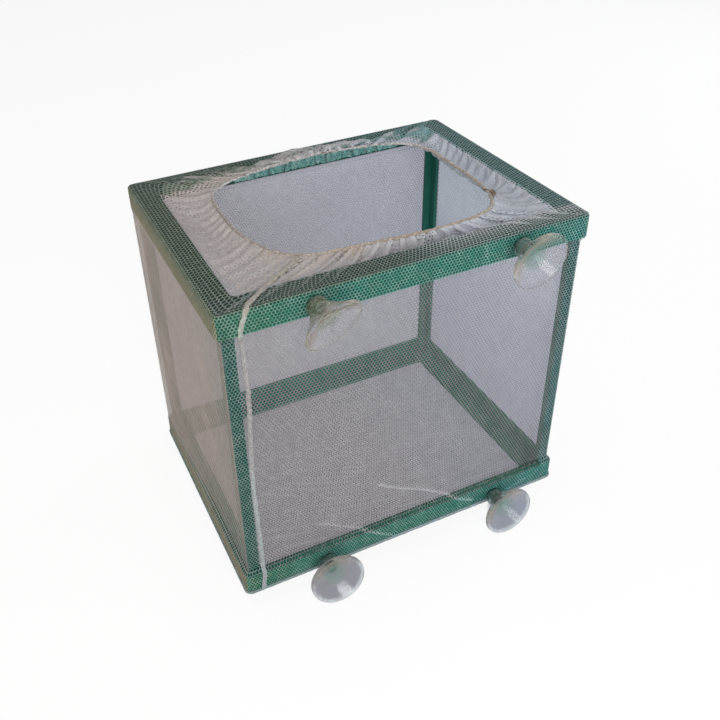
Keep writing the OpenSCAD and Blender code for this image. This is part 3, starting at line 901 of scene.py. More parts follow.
def relaxCollar(outer, hemPlan):
    # lets the strip of net settle between the ring's edge and the shorter elastic
    c = collarCloth
    points, free = startCollar(outer, hemPlan)
    columns, hemRow = len(outer), c["length"]
    rows = len(points) // columns
    links = collarLinks(columns, rows)
    row = np.repeat(np.arange(rows), columns)
    strip, hung = (row > 0) & (row < hemRow), row > hemRow
    highest = bag["top"] + c["lift"] + c["cap"] * (row / hemRow) ** c["capCurve"]
    away = unit(np.tile(outer - hemPlan, (rows, 1)))[strip]
    edge, apart = np.tile(hemPlan, (rows, 1))[strip], c["apart"] * (hemRow - row[strip])
    before = points.copy()
    for _ in range(c["steps"]):
        move = (points - before) * c["damping"] - (0, 0, c["weight"])
        before = points.copy()
        points += move * free[:, None]
        for first, second, length, stiff, onlyApart in links:
            pull(points, free, first, second, length, stiff, onlyApart)
        rest = (onFlange(points[:, 0], points[:, 1]) > 0.5) & strip
        points[rest, 2] = np.maximum(points[rest, 2], bag["top"] + c["lift"])
        points[strip, 2] = np.minimum(points[strip, 2], highest[strip])
        short = np.maximum(apart - np.sum((points[strip, :2] - edge) * away, axis=1), 0)
        points[strip, :2] += away * short[:, None]
        for k, half in enumerate((bag["halfWidth"], bag["halfDepth"])):
            points[strip, k] = np.clip(points[strip, k], c["inset"] - half, half - c["inset"])
        points[hung, 1] = np.minimum(points[hung, 1], c["hungTo"])
    return points.reshape(rows, columns, 3)


def softenFolds(cloth):
    # limp net holds its folds less sharply than the settled strip, and is crumpled near the hem
    c = collarCloth
    rows, columns, _ = cloth.shape
    x, y, height = cloth[:, :, 0], cloth[:, :, 1], cloth[:, :, 2]
    steps = np.arange(-24, 25)
    weights = np.exp(-(steps / c["softReach"]) ** 2)
    level = sum(w * np.roll(height, k, axis=1) for k, w in zip(steps, weights / weights.sum()))
    keep = np.interp(np.arange(columns), (collarMarks[:-1] + collarMarks[1:]) / 2, c["keep"], period=columns)
    row = np.arange(rows)[:, None]
    strip = (row > 0) & (row < c["length"])
    near = smoothStep(row, 4, 12) * (1 - smoothStep(row, c["length"] - 2.5, c["length"] - 0.5))
    softer = level + (height - level) * keep + near * c["crumple"] * wander(x, y, 31, c["crumples"])
    softer = np.where(onFlange(x, y) > 0.5, np.maximum(softer, bag["top"] + c["lift"]), softer)
    soft = cloth.copy()
    soft[:, :, 2] = np.where(strip, softer, height)
    return soft


def onCloth(cloth, u, v):
    # a smooth surface through the cloth's points, u across it and v along it
    rows, columns, _ = cloth.shape
    place = np.zeros((len(u), 3))

    def weights(part):
        return (-part / 2 + part ** 2 - part ** 3 / 2, 1 - 2.5 * part ** 2 + 1.5 * part ** 3,
                part / 2 + 2 * part ** 2 - 1.5 * part ** 3, -part ** 2 / 2 + part ** 3 / 2)

    lowU, lowV = np.floor(u).astype(int), np.floor(v).astype(int)
    for j, down in enumerate(weights(v - lowV)):
        row = np.clip(lowV + j - 1, 0, rows - 1)
        for i, across in enumerate(weights(u - lowU)):
            place += (down * across)[:, None] * cloth[row, (lowU + i - 1) % columns]
    return place


def collarPins():
    # each column's point on the bag's edge, and where the elastic holds it
    c = collarCloth
    outer = []
    for name in collarSides:
        out, count, _, _ = panels[name]
        along = (np.arange(count) / count - 0.5) * sideLength(out)
        outer.append(outline(along, out, np.full(along.shape, bag["edge"]))[0])
    corners = [shareNear(way) for way in c["corners"]]
    for k in range(1, 4):
        while corners[k] < corners[k - 1]:
            corners[k] += 1
    corners.append(corners[0] + 1)
    columns = collarMarks[-1]
    column = np.arange(columns, dtype=float)
    bunched = column + c["bunch"] * ripples(column, columns, (9, 15, 22, 31, 40), 3)
    share = np.interp(bunched % columns, collarMarks, corners)
    return np.vstack(outer), mouthPoints(share)


# Four values are for the front, the right, the back and the left side, and their places are in cells
collarLook = {
    "wide": (1.12, 1.25, 1.2, 1.25), "deep": 1.1,    # how far the net stretches
    "slant": 0.19, "slip": 2.2,                      # how it leans on the left, and slips inwards at the back
    "open": (1.16, 1.1, 1.2, 1.12),                  # how far its holes open over the ring
    "openPastRing": (1, 0, 1, 0),                    # 1 where they stay so past it
    "crumpleFrom": (8.5, 30.0, 5.0, 30.0), "crumpleWander": (3.0, 0, 6.0, 0),    # 30 is past the hem
    "inside": (7.0, 6.2, 7.0, 7.0), "insideClose": (0.1, 0.42, 0.2, 0.32),
    "header": {"left": -38, "right": 50, "front": 42, "skirt": 1.5, "slope": 0.48},
}


def onSide(around, side, blend):
    # 1 on one side of the collar, 0 on the others
    start, end = collarMarks[side:side + 2]
    return smoothStep(around, start, start + blend) * (1 - smoothStep(around, end - blend, end))


def collarHoles(around, down, side):
    # how crumpled the net is, and how far its holes stay open
    length = collarCloth["length"]
    wanted = ("open", "openPastRing", "crumpleFrom", "crumpleWander", "inside", "insideClose")
    openShare, pastRing, crumpleFrom, crumpleWander, insideFrom, insideClose = (
        np.array(collarLook[key])[side] for key in wanted)
    pleat = np.abs((ripples(around, collarMarks[-1], (23, 34, 41), 15) * 1.3 + around / 9) % 2 - 1)
    start = crumpleFrom + crumpleWander * pleat - (side == 0) * 3.5 * smoothStep(around, 50, 76)
    crumple = smoothStep(down - start, -0.6, 0.8)
    gather = smoothStep(down, length * 0.7, length)
    patch = 0.5 + 0.5 * ripples(around, collarMarks[-1], (7, 11, 19, 29), 14)
    onRing = 1 - smoothStep(down, 6.4, 7.4) * (1 - pastRing)
    opening = 1 + (openShare - 1) * onRing * (1 - crumple)
    inside = smoothStep(down - insideFrom, -0.4, 0.6) * insideClose
    inside = inside + (side == 1) * 0.3 * smoothStep(down, 5.8, 6.8) * (1 - smoothStep(down, 9, 12))
    return crumple, opening - 0.2 * crumple - inside - gather * (0.1 + 0.2 * patch)


def collarTones(net, place, down, crumple):
    # the thread's tone over the flange, over the mouth and past the hem: painted light and shade by side,
    # painted shade and green light over the flange, and painted green light from the back skirt past the hem
    x, y, z = place.T
    length, mouthBack = collarCloth["length"], mouthHalf[1]
    over, right = onFlange(x, y, 0.4), toRight(x)
    # painted light: paler where the net rises off the flange or bunches up near the hem
    raised = np.maximum(smoothStep(z - bag["top"], 0.8, 2.8), crumple)
    pale = over * np.maximum(raised, smoothStep(down, length - 3, length - 1))
    past = smoothStep(down, length, length + 0.5)
    front, back = (smoothStep(way * y, mouthBack - 2, mouthBack + 1) for way in (-1, 1))
    # the back skirt shows through just inside the flange
    skirt = smoothStep(y, mouthBack - 8, mouthBack - 6) * (1 - smoothStep(down, 12, 15))
    over = np.maximum(over, skirt * (1 - pale))
    # paler and bluer over the front flange, more towards the right and towards the mouth
    haze = front * smoothStep(x, -10, 25) * (0.42 + 0.58 * smoothStep(y, -60, -54))
    layers = [(np.ones_like(x), "collarLeft"), (right, "collarRight"), (over, "flangeLeft"),
              (over * front, "flangeFront"), (over * back, "flangeBack"),
              (over * right * (1 - 0.6 * front), "flangeRight"), (over * haze, "flangePaleBlue"),
              (pale, "paleLeft"), (pale * right, "paleRight"), (past, "hanging")]
    writeTones(net, layers)


def collarNet(cloth):
    c, look = collarCloth, collarLook
    # the net's own columns are wider than the cloth's where it is stretched
    counts = [round(panels[name][1] / wide) for name, wide in zip(collarSides, look["wide"])]
    rise = netCell["pitch"] * cellHeight * look["deep"]
    rows = round((c["length"] + c["header"]) * c["cell"] / rise)
    net, column, row, ridge = flatNet("netCollar", sum(counts), rows)
    own = np.cumsum([0] + counts)
    side = np.clip(np.searchsorted(own, column, side="right") - 1, 0, 3)
    around = np.interp(column, own, collarMarks)
    crumple, opening = collarHoles(around, row * rise / c["cell"], side)
    column, row = closeHoles(column, row, ridge, opening)
    down = row * rise / c["cell"]
    slip = look["slip"] * onSide(around, 2, 10)
    down = down + slip * smoothStep(down, 0, 6) * (1 - smoothStep(down, 7, 18))
    across = np.interp(column, own, collarMarks)
    across -= look["slant"] * down * onSide(across, 3, 12)
    place = onCloth(cloth, across, down)
    aside, ahead = (onCloth(cloth, across + du, down + dv) - place for du, dv in ((0.2, 0), (0, 0.2)))
    place = place + unit(np.cross(aside, ahead)) * (ridge + 0.05)[:, None]
    writePoints(net, place * mm)
    collarTones(net, place, down, crumple)
    # the header is kept at the back only, above a plane that rises forwards from the skirt's lower edge
    x, y, z = place.T
    kept = look["header"]
    lowest = upperSkirt + (ringHalf[1] - kept["skirt"] - y) * kept["slope"]
    beyond = (y < kept["front"]) | (x < kept["left"]) | (x > kept["right"]) | (z < lowest)
    punch(net, (down > c["length"] + 0.4) & beyond)
    onlySelect(net)
    bpy.ops.object.mode_set(mode="EDIT")
    bpy.ops.mesh.select_all(action="SELECT")
    bpy.ops.mesh.remove_doubles(threshold=0.00001)
    bpy.ops.object.mode_set(mode="OBJECT")
    shadeSmooth(net)
    return net


# Hem, elastic and seams

def ring2d(radius, count):
    turns = np.linspace(0, 2 * math.pi, count, endpoint=False)
    return np.stack([np.cos(turns), np.sin(turns)], axis=1) * radius


def hemCasing():
    h = hem
    plan = mouthPath(h["steps"])
    share = np.arange(h["steps"]) / h["steps"]
    path = np.column_stack([plan, h["height"] + h["rise"] * ripples(share, 1, (31, 47, 64), 21)])
    up = np.tile([0.0, 0.0, 1.0], (len(path), 1))
    side = unit(np.cross(alongPath(path, closed=True), up))
    thinner = h["thinBack"] * smoothStep(plan[:, 1], 30, 48)
    thick = 1 + h["swell"] * ripples(share, 1, (5, 9, 14), 22) - thinner
    thick = thick * (1 + h["pucker"] * ripples(share, 1, (83, 127, 149, 97, 61), 4))
    turns = np.linspace(0, 2 * math.pi, h["around"], endpoint=False)
    twist = h["twist"] * ripples(share, 1, (7, 13, 19), 23)
    rough = 1 + h["uneven"] * np.sin(turns[None] * 2 + twist[:, None] * 2 * math.pi)
    section = ring2d(1, h["around"])[None] * (h["radius"] * thick[:, None] * rough)[:, :, None]
    casing = sweep("hemCasing", path, side, up, section, closed=True)
    x, y, _ = readPoints(casing).T / mm
    layers = [(np.ones_like(x), "hemFront"), (smoothStep(-x, 25, 50), "hemLeft"),
              (smoothStep(x, 35, 55), "hemRight"), (smoothStep(y, 24, 36), "hemBack")]
    writeTones(casing, layers)
    return casing


cord = {
    "radius": 0.4, "steps": 360,
    "knot": (59.2, -26.6, hem["height"] + 0.3), "knotSize": 0.483, "knotHeight": 1.1,
    "knotStretch": (0.8, 1.35, 1), "knotThick": 0.5,
    "tails": ((-0.30, -0.95), (-0.12, 0.95)), "tailThick": 0.42,    # the ways in which the two tails lie
    "tailPoints": ((0, 0, 0), (1.8, -0.5, 0.4), (3.4, -0.9, 0.3), (4.4, -1.1, -0.2)),    # along, aside and up
}


def elasticLoop():
    c = cord
    knot = np.array(c["knot"])
    turns = np.linspace(0, 2 * math.pi, 160, endpoint=False)
    reach = 2 + np.cos(3 * turns)
    loop = np.column_stack([reach * np.cos(2 * turns), reach * np.sin(2 * turns),
                            c["knotHeight"] * np.sin(3 * turns)])
    pieces = [tube("knot", loop * c["knotSize"] * c["knotStretch"] + knot, c["knotThick"], True)]
    for x, y in c["tails"]:
        tail = [knot + (x * along + aside, y * along, lift) for along, aside, lift in c["tailPoints"]]
        pieces.append(tube("tail", curveThrough(tail, 8), c["tailThick"], False))
    plan = mouthPath(c["steps"])
    path = np.column_stack([plan, np.full(len(plan), hem["height"])])
    pieces.append(tube("loop", path, c["radius"], True))
    return joined("elasticCord", pieces)


def tube(name, path, radius, closed):
    along = alongPath(path, closed)
    up = np.zeros_like(path)
    up[0] = unit(np.cross(along[0], [0.3, 0.2, 1.0]))
    for k in range(1, len(path)):
        up[k] = unit(up[k - 1] - along[k] * (up[k - 1] @ along[k]))
    return sweep(name, path, unit(np.cross(along, up)), up, ring2d(radius, 8), closed)


def joined(name, pieces):
    clearSelection()
    for piece in pieces:
        piece.select_set(True)
    bpy.context.view_layer.objects.active = pieces[0]
    bpy.ops.object.join()
    whole = bpy.context.object
    whole.name = whole.data.name = name
    return whole


seamCourse = {
    "front": [(-76.6, 1.2), (-75.5, 15), (-75.7, 43), (-75.9, 69), (-74.3, 104), (-73.9, 113), (-74, 122),
              (-74.3, 136), (-75.2, 143), (-74.2, 148), (-72.8, 152)],    # across and up
    "over": (-72.7, -71.4),
    "collar": [(-70.9, -61.4), (-67.9, -58.7), (-62.2, -54.1), (-54.3, -47.7), (-45.7, -42.2),
               (-40.4, -38.0)],
    "off": 0.3, "offCollar": 0.35,    # how far its middle stands off the wall and the collar
    "width": 2.0, "thick": 0.5, "uneven": 0.10, "waver": 0.18,
    "section": [(-1, -0.6), (-1, 0.5), (-0.75, 1), (-0.15, 1.15), (0, 0.7), (0.15, 1.15), (0.75, 1), (1, 0.5),
                (1, -0.6), (0, -1)],
}


def seamLine(cloth, count):
    # the side seam's middle in even steps from the base to the hem, with the directions that face out
    c = seamCourse
    x, z = curveThrough(c["front"], 16).T
    path = np.column_stack([x, -bag["halfDepth"] + drawnIn(z) - c["off"], z])
    out = np.tile([0.0, -1.0, 0.0], (len(path), 1))
    turns = np.linspace(0, math.pi / 2, 8)[1:-1]
    reach = bag["edge"] + c["off"]
    over = np.column_stack([np.linspace(*c["over"], len(turns)),
                            -bag["halfDepth"] + bag["edge"] - reach * np.cos(turns),
                            bag["top"] - bag["edge"] + reach * np.sin(turns)])
    outOver = np.column_stack([0 * turns, -np.cos(turns), np.sin(turns)])
    flat = curveThrough(c["collar"], 10)
    # the collar's own height around each point, evened out along the seam
    strip = cloth[1:collarCloth["length"]].reshape(-1, 3)
    near = [np.argsort(np.hypot(*(strip[:, :2] - p).T))[:12] for p in flat]
    level = np.array([strip[k, 2].mean() for k in near])
    level = np.convolve(np.pad(level, 6, mode="edge"), np.ones(13) / 13, mode="valid")
    top = np.column_stack([flat, np.maximum(level, bag["top"]) + c["offCollar"]])
    outTop = np.tile([0.0, 0.0, 1.0], (len(top), 1))
    steps = evenSteps(np.hstack([np.vstack([path, over, top]), np.vstack([out, outOver, outTop])]), count)
    return steps[:, :3], unit(steps[:, 3:])


def sideSeam(cloth):
    c = seamCourse
    path, out = seamLine(cloth, 360)
    side = unit(np.cross(alongPath(path), out))
    share = np.linspace(0, 1, len(path))
    width = c["width"] / 2 * (1 + c["uneven"] * noiseAlong(share, (0.05, 0.034, 0.021), 31))
    size = np.stack([width, np.full(len(path), c["thick"] / 2)], axis=1)
    shift = np.stack([c["waver"] * noiseAlong(share, (0.09, 0.061, 0.017), 33), 0 * share], axis=1)
    strip = sweep("sideSeam", path, side, out, np.array(c["section"])[None] * size[:, None] + shift[:, None])
    z = readPoints(strip)[:, 2] / mm
    # painted green light where the strip lies over the upper skirt
    layers = [(np.ones_like(z), "seamLow"), (smoothStep(z, 50, 100), "seamMiddle"),
              (smoothStep(z, upperSkirt - 1.9, upperSkirt + 1.1), "seamSkirt"),
              (smoothStep(z, ringTop - 3.4, ringTop + 0.1), "seamTop")]
    writeTones(strip, layers)
    return strip


stitch = {
    "half": (0.22, 1.15, 0.16),    # half its width, length and thickness
    "pitch": 3.6, "start": 4,
    "spare": 6,                    # length of the seam that is left without stitches
    "sag": 0.10, "off": 0.30,
}


def sideStitches(cloth):
    c = stitch
    path, out = seamLine(cloth, 2400)
    reach = np.concatenate([[0], np.cumsum(np.linalg.norm(np.diff(path, axis=0), axis=1))])
    clearSelection()
    bpy.ops.mesh.primitive_uv_sphere_add(segments=8, ring_count=6, radius=1)
    first = bpy.context.object
    first.scale = c["half"]
    bpy.ops.object.transform_apply(scale=True)
    across, lengthwise, height = readPoints(first).T
    height = height + c["off"] - c["sag"] * (lengthwise / c["half"][1]) ** 2
    count = int((reach[-1] - c["spare"]) / c["pitch"])
    copies = [first] + [copyOf(first, "stitch") for _ in range(count - 1)]
    for k, copy in enumerate(copies):
        at = np.searchsorted(reach, c["start"] + c["pitch"] * k)
        along = unit(path[min(at + 6, len(path) - 1)] - path[max(at - 6, 0)])
        side = unit(np.cross(along, out[at]))
        placed = path[at] + np.outer(across, side) + np.outer(lengthwise, along) + np.outer(height, out[at])
        writePoints(copy, placed * mm)
        shadeSmooth(copy)
    return joined("sideStitching", copies)


binding = {
    "steps": 150, "off": 0.32, "height": 0.95, "waver": 0.08, "uneven": 0.12,
    "section": [(-0.3, -0.85), (0.05, -0.9), (0.26, -0.5), (0.30, 0.0), (0.24, 0.55), (0.0, 0.85),
                (-0.3, 0.8)],
}


def baseSeam():
    c = binding
    plan, normal = [], []
    for name in collarSides:
        out = panels[name][0]
        along = np.linspace(-0.5, 0.5, c["steps"], endpoint=False) * sideLength(out)
        points, away = outline(along, out, np.zeros(len(along)))
        plan.append(points)
        normal.append(away)
    plan, normal = np.vstack(plan), np.vstack(normal)
    share = np.arange(len(plan)) / len(plan)
    height = c["height"] + c["waver"] * noiseAlong(share, (0.02, 0.013), 51)
    path = np.column_stack([plan + normal * c["off"], height])
    up = np.tile([0.0, 0.0, 1.0], (len(path), 1))
    side = np.column_stack([normal, np.zeros(len(normal))])
    size = 1 + c["uneven"] * ripples(share, 1, (163, 211, 97), 52)
    seam = sweep("baseSeam", path, side, up, np.array(c["section"])[None] * size[:, None, None], closed=True)
    x = readPoints(seam)[:, 0] / mm
    # painted light and shade: darker and greener on the left, paler and bluer towards the right
    writeTones(seam, [(np.ones_like(x), "bindLeft"), (smoothStep(x, -45, 0), "bindRight")])
    return seam


# Suction cups

cup = {
    "hubRadius": 4.3, "hubLength": 3.6, "hubEdge": 1.2,
    "neckRadius": 3.9, "discRadius": 13.0, "discDepth": 10.0, "discThick": 1.3, "lip": 1.0, "hollow": 5.3,
    "boreRadius": 2.16, "boreDepth": 6.3, "boreEdge": 0.3,
    "groove": 2.51, "grooveAt": (3.55, 3.9, 4.8, 5.1),    # its radius, and depths of its start, floor and end
    "cloudy": (4.4, 6.5), "rim": 0.3,                     # radii where the cloudy hub fades, the rim's haze
    "pivot": 5.5, "bendFrom": 3.2, "bendTo": 8.0,         # depths between which the neck bends
    "steps": 56,
}
cupPlaces = {  # name: place, droop and turn of its disc
    "cupUpperLeft": ("upper_left", 23, 15),
    "cupUpperRight": ("upper_right", 6, 2),
    "cupLowerLeft": ("lower_left", -8, -3),
    "cupLowerRight": ("lower_right", -4, 1),
}


def cupProfile():
    # radius and depth, from the bore's end over the bore, the hub and the disc to the middle of its hollow
    c = cup
    bore, corner, groove = c["boreRadius"], c["boreEdge"], c["grooveAt"]
    arc = [(math.sin(t), math.cos(t)) for t in np.linspace(0, math.pi / 2, 6)]
    line = [(0.0, c["boreDepth"]), (bore - corner, c["boreDepth"]), (bore, c["boreDepth"] - corner)]
    line += [(bore, groove[3]), (c["groove"], groove[2]), (c["groove"], groove[1]), (bore, groove[0])]
    line += [(bore, 0.35), (bore + corner, 0.0)]
    middle, edge = c["hubRadius"] - c["hubEdge"], c["hubEdge"]
    line += [(middle + edge * s, edge - edge * k) for s, k in arc]
    line += [(middle + edge * k, c["hubLength"] - edge + edge * s * 0.9) for s, k in arc[:-1]]
    line += [(c["neckRadius"] + 0.08, c["hubLength"] + 0.1)]
    flare, backDepth = c["discRadius"] - c["neckRadius"], c["discDepth"] - c["discThick"]
    for u in np.linspace(0.06, 1, 12):
        line.append((c["neckRadius"] + flare * u, c["hubLength"] + backDepth * u ** 0.82 + 0.12))
    rim = c["hubLength"] + c["discDepth"]
    line += [(c["discRadius"] + out, rim - back) for out, back in ((0.02, 0.75), (-0.1, 0.25), (-0.35, 0))]
    for u in np.linspace(1, 0, 12):
        line.append(((c["discRadius"] - c["lip"]) * u, rim - c["hollow"] * (1 - u ** 1.5) - 0.02))
    return line


def lathe(name, line, steps):
    # draws the line point by point from its first, then spins it around Z
    clearSelection()
    bpy.ops.mesh.primitive_plane_add(size=1)
    piece = bpy.context.object
    piece.name = piece.data.name = name
    bpy.ops.object.mode_set(mode="EDIT")
    bpy.ops.mesh.select_all(action="SELECT")
    bpy.ops.mesh.merge(type="CENTER")
    bpy.ops.transform.translate(value=(line[0][0], 0, line[0][1]))
    for before, after in zip(line[:-1], line[1:]):
        bpy.ops.mesh.extrude_vertices_move(
            TRANSFORM_OT_translate={"value": (after[0] - before[0], 0, after[1] - before[1])})
    bpy.ops.mesh.select_all(action="SELECT")
    bpy.ops.mesh.spin(steps=steps, angle=2 * math.pi, center=(0, 0, 0), axis=(0, 0, 1))
    bpy.ops.mesh.select_all(action="SELECT")
    bpy.ops.mesh.remove_doubles(threshold=0.004)
    bpy.ops.mesh.normals_make_consistent(inside=False)
    bpy.ops.object.mode_set(mode="OBJECT")
    return piece


def placeCup(model, name):
    c = cup
    place, droop, turn = cupPlaces[name]
    piece = copyOf(model, name)
    points = readPoints(piece)
    away, depth = np.hypot(points[:, 0], points[:, 1]), points[:, 2]
    hub = 1 - smoothStep(away, *c["cloudy"])
    writeNumber(piece, "thick", np.maximum(hub, c["rim"] * smoothStep(away / c["discRadius"], 0.96, 0.99)))
    # the neck bends under the disc, and the hub and the bore stay straight on the peg
    share = smoothStep(depth, c["bendFrom"], c["bendTo"])
    pastBore = (away >= c["boreRadius"] + 0.4) | (depth > c["boreDepth"] + 0.3)
    share = (share * pastBore)[:, None]
    pivot = np.array([0, 0, c["pivot"]])
    turned = Matrix.Rotation(math.radians(turn), 3, "Y") @ Matrix.Rotation(math.radians(droop), 3, "X")
    bent = (points - pivot) @ np.array(turned).T + pivot
    right, up, out = (points * (1 - share) + bent * share).T
    x, back, z = swivels[place + "_cup"]
    writePoints(piece, np.column_stack([right + x, back - out, up + z]) * mm)
    shadeSmooth(piece, 40)
    return piece


# Camera, floor and light

view = {
    "place": (-149.02, -306.41, 321.78), "azimuth": 23.45, "elevation": 33.98, "roll": -2.41,
    "lens": 42.12, "shift": (0.0575, -0.0648),
}


def makeCamera():
    azimuth, elevation, roll = (math.radians(view[k]) for k in ("azimuth", "elevation", "roll"))
    forward = Vector((math.sin(azimuth) * math.cos(elevation), math.cos(azimuth) * math.cos(elevation),
                      -math.sin(elevation)))
    right = Vector((math.cos(azimuth), -math.sin(azimuth), 0))
    up = right.cross(forward)
    x = right * math.cos(roll) + up * math.sin(roll)
    y = up * math.cos(roll) - right * math.sin(roll)
    data = bpy.data.cameras.new("camera")
    camera = bpy.data.objects.new("camera", data)
    bpy.context.collection.objects.link(camera)
    data.sensor_width = 36
    data.lens = view["lens"]
    data.shift_x, data.shift_y = view["shift"]
    data.clip_start, data.clip_end = 10 * mm, 50000 * mm
    turn = Matrix((x, y, -forward)).transposed().to_4x4()
    camera.matrix_world = Matrix.Translation(Vector(view["place"]) * mm) @ turn
    bpy.context.scene.camera = camera


def floorTilt(cups):
    # the box rests on the lower cups' rims and on its back edge
    steepest = 0.0
    for piece in cups:
        points = readPoints(piece) / mm
        steepest = max(steepest, np.arctan2(-points[:, 2], stand["backEdge"] - points[:, 1]).max())
    return steepest


stand = {
    "backEdge": round(cadBounds[1][1] / mm, 2),    # how far back the line lies that the box rests on
    "white": 0.94, "glow": 0.86,
    "shadeLeft": (0.345, 0.325, 0.34), "shadeRight": (0.39, 0.42, 0.51), "turnsOver": (-90, 200),
    "soft": 1.6, "inset": 0.2, "cell": 1.5, "near": (-130, -110, 330, 430), "far": 12000,
}


def hull(points):
    # the convex outline around these points
    points = sorted(map(tuple, points))
    halves = []
    for order in (points, points[::-1]):
        half = []
        for p in order:
            while len(half) > 1 and ((half[-1][0] - half[-2][0]) * (p[1] - half[-2][1])
                                     - (half[-1][1] - half[-2][1]) * (p[0] - half[-2][0])) <= 0:
                half.pop()
            half.append(p)
        halves += half[:-1]
    return np.array(halves)


def insideHull(points, corners):
    # distance in from the nearest edge of a convex outline
    depth = np.full(len(points), 1e9)
    for a, b in zip(corners, np.roll(corners, -1, axis=0)):
        away = np.array([-(b - a)[1], (b - a)[0]]) / np.hypot(*(b - a))
        depth = np.minimum(depth, (points - a) @ away)
    return depth


def slab(halfX, halfY, low, high):
    return [(x, y, z) for x in (-halfX, halfX) for y in (-halfY, halfY) for z in (low, high)]


def floorShade(flat, slope, cups):
    # the outline of the rings, the posts and the lower cups as the camera sees it against the floor
    lens = np.array(view["place"])
    sides = [half - 0.6 for half in ringHalf]
    shapes = [slab(*sides, upperSkirt, ringTop - 0.4), slab(postHigh[0] + 0.1, postHigh[1] + 0.2, 5, 150),
              slab(*sides, 1.4, lowerSkirt)]
    for piece in cups:
        points = readPoints(piece) / mm
        shapes.append(points.mean(axis=0) + (points - points.mean(axis=0)) * 0.985)
    shade = np.zeros(len(flat))
    for shape in shapes:
        ray = np.asarray(shape) - lens
        reach = ((lens[1] - stand["backEdge"]) * slope - lens[2]) / (ray[:, 2] - ray[:, 1] * slope)
        depth = insideHull(flat, hull((lens + ray * reach[:, None])[:, :2]))
        shade = np.maximum(shade, smoothStep(depth, stand["inset"], stand["inset"] + stand["soft"]))
    return shade


def paleFloor():
    paint = Paint("paleFloor", Roughness=0.9, Specular_IOR_Level=0.0)
    shade = paint.attribute("shade")
    across = paint.band(paint.axis(0), *(x * mm for x in stand["turnsOver"]))
    fine = paint.noise(60, 2)
    tone = paint.mix(across, stand["shadeLeft"], stand["shadeRight"])
    paint.feed("Base Color", paint.mix(shade, [stand["white"]] * 3, tone))
    paint.feed("Roughness", 0.85 + 0.1 * fine)
    glowing = {"Color": paint.mix(shade, (1, 1, 1), tone), "Strength": 1.0}
    glow = paint.node("ShaderNodeEmission", None, glowing)
    inputs = {0: paint.seen() * stand["glow"], 1: paint.surface(), 2: glow}
    paint.finishWith(paint.node("ShaderNodeMixShader", None, inputs))
    return paint


def makeFloor(tilt, cups):
    # a plane that carries the tilt, with a finer part near the box
    slope = math.tan(tilt)
    left, front, right, back = stand["near"]
    columns, rows = int((right - left) / stand["cell"]), int((back - front) / stand["cell"])
    clearSelection()
    bpy.ops.mesh.primitive_grid_add(x_subdivisions=columns, y_subdivisions=rows, size=1)
    near = bpy.context.object
    near.name = near.data.name = "floorNear"
    points = readPoints(near)
    x = left + (points[:, 0] + 0.5) * (right - left)
    y = front + (points[:, 1] + 0.5) * (back - front)
    writePoints(near, np.column_stack([x, y, (y - stand["backEdge"]) * slope]) * mm)
    writeNumber(near, "shade", floorShade(np.column_stack([x, y]), slope, cups))
    clearSelection()
    bpy.ops.mesh.primitive_plane_add(size=1)
    far = bpy.context.object
    far.name = far.data.name = "floorFar"
    x, y, _ = readPoints(far).T * stand["far"]
    writePoints(far, np.column_stack([x, y, (y - stand["backEdge"]) * slope - 0.05]) * mm)
    writeNumber(far, "shade", np.zeros(4))
    paint = paleFloor()
    for piece in (near, far):
        dress(piece, paint)


lamps = {  # name: direction from the box, distance and size in metres, strength, colour
    "front": ((-0.30, -0.88, 0.40), 0.9, 0.55, 0.72, (1.0, 0.985, 0.96)),
    "glint": ((0.02, -0.97, 0.20), 0.9, 0.18, 0.10, (0.90, 0.96, 1.0)),
    "above": ((-0.15, 0.15, 1.0), 0.9, 0.7, 0.22, (1.0, 0.99, 0.98)),
    "right": ((0.85, 0.25, 0.45), 0.9, 0.6, 0.22, (0.95, 0.98, 1.0)),
}
sky = {"strength": 0.42, "colour": (0.99, 0.99, 1.0)}


def makeLight():
    middle = Vector((0, 0, 75 * mm))
    for name, (way, distance, size, strength, colour) in lamps.items():
        data = bpy.data.lights.new(name, "AREA")
        data.shape = "DISK"
        data.size = size
        data.energy = strength * (math.pi * distance) ** 2
        data.color = colour
        lamp = bpy.data.objects.new(name, data)
        bpy.context.collection.objects.link(lamp)
        lamp.location = middle + Vector(way).normalized() * distance
        lamp.rotation_euler = (middle - lamp.location).to_track_quat("-Z", "Y").to_euler()
    world = bpy.data.worlds.new("studio")
    bpy.context.scene.world = world
    world.use_nodes = True
    studio = NodeTree(world.node_tree, "World Output")
    studio.nodes.remove(studio.nodes["Background"])
    # the box gets soft light from all around, and what is seen behind it is white
    soft, white = (studio.node("ShaderNodeBackground", None, {"Color": (*colour, 1), "Strength": strength})
                   for colour, strength in ((sky["colour"], sky["strength"]), ((1, 1, 1), 1.0)))
    studio.finishWith(studio.node("ShaderNodeMixShader", None, {0: studio.seen(), 1: soft, 2: white}))


# Build

for name, (nodes, outer, inner, faces) in frameGreensAndLight.items():
    paint = greenPlastic(name, outer, inner, faces)
    for node in nodes:
        dress(frame["nodes"][node], paint)
print("frame dressed")

wallPaint = netThread("whiteNet")
frontPaint = netThread("whiteNetFront", seeThrough=True)
collarPaint = netThread("whiteNetCollar", collarGrime)
cellArea = 1 - (1 - netCell["thread"] / netCell["pitch"]) ** 2


def swapIn(piece, node, body, paint):
    # the piece takes the CAD node's place on its body
    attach(piece, body)
    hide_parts(node)
    dress(piece, paint)
    return piece


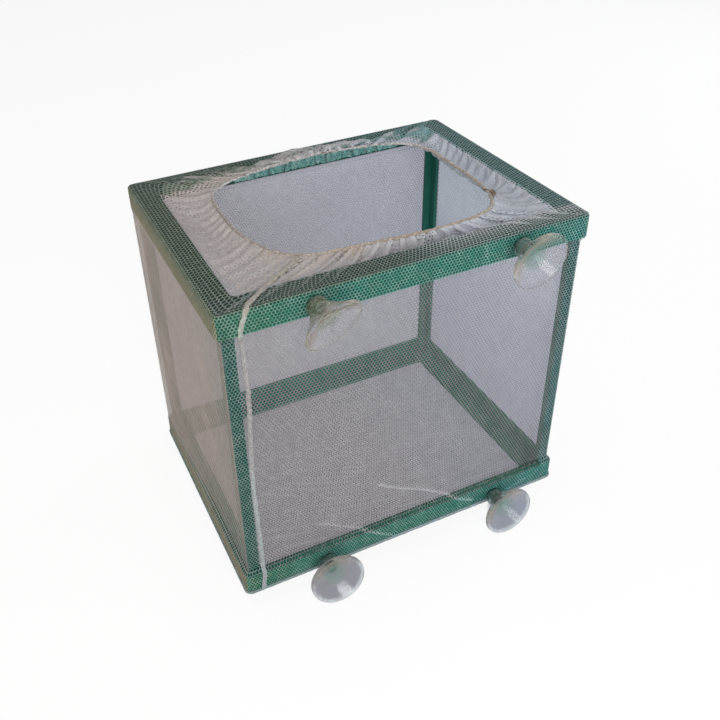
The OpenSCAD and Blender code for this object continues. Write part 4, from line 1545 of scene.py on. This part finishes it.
wallNodes = {"netFront": "net_front", "netRight": "net_right", "netBack": "net_back", "netLeft": "net_left"}
for name, node in wallNodes.items():
    net = swapIn(wallNet(name), node, "box", frontPaint if name == "netFront" else wallPaint)
    width = sideLength(panels[name][0]) * mm
    wallLength * mm
    cellArea * width * wallLength * mm
print("walls done")

base = swapIn(baseNet(), "net_base", "box", wallPaint)
bindingPaint = clothStrip("baseBinding", (0.30, 0.34, 0.36), (0.20, 0.24, 0.25))
seam = swapIn(baseSeam(), "base_seam", "box", bindingPaint)
flat = (2 * bag["halfWidth"] * mm, 2 * bag["halfDepth"] * mm)
cellArea * flat[0] * flat[1]
print("base done")

cloth = softenFolds(relaxCollar(*collarPins()))
collar = swapIn(collarNet(cloth), "net_collar", "box", collarPaint)
hemPaint = clothStrip("hemTulle", (0.44, 0.40, 0.36), (0.26, 0.21, 0.17))
casing = swapIn(hemCasing(), "hem_casing", "box", hemPaint)
seamPaint = clothStrip("seamTulle", (0.36, 0.35, 0.34), (0.27, 0.26, 0.25))
strip = swapIn(sideSeam(cloth), "side_seam", "box", seamPaint)
stitchPaint = twistedThread("sewingThread", (0.38, 0.38, 0.37), (0.26, 0.25, 0.24), 0.4)
stitches = swapIn(sideStitches(cloth), "side_stitching", "box", stitchPaint)
cordPaint = twistedThread("tanElastic", (0.20, 0.15, 0.11), (0.11, 0.08, 0.06), 0.6)
swapIn(elasticLoop(), "elastic_cord", "box", cordPaint)
around = sum(sideLength(panels[side][0]) for side in collarSides) * mm
collarWidth = (collarCloth["length"] + collarCloth["header"]) * collarCloth["cell"] * mm
cellArea * around * collarWidth
print("collar, hem and seams done")

model = lathe("cupModel", cupProfile(), cup["steps"])
cupPaint = clearPlastic()
cups = [swapIn(placeCup(model, name), "suction_cup_" + place, place + "_cup", cupPaint)
        for name, (place, *_) in cupPlaces.items()]
bpy.data.objects.remove(model)
print("cups done")

makeCamera()
lowerCups = cups[2:]
makeFloor(floorTilt(lowerCups), lowerCups)
makeLight()
bpy.context.scene.view_settings.view_transform = "Standard"
print("stage done")
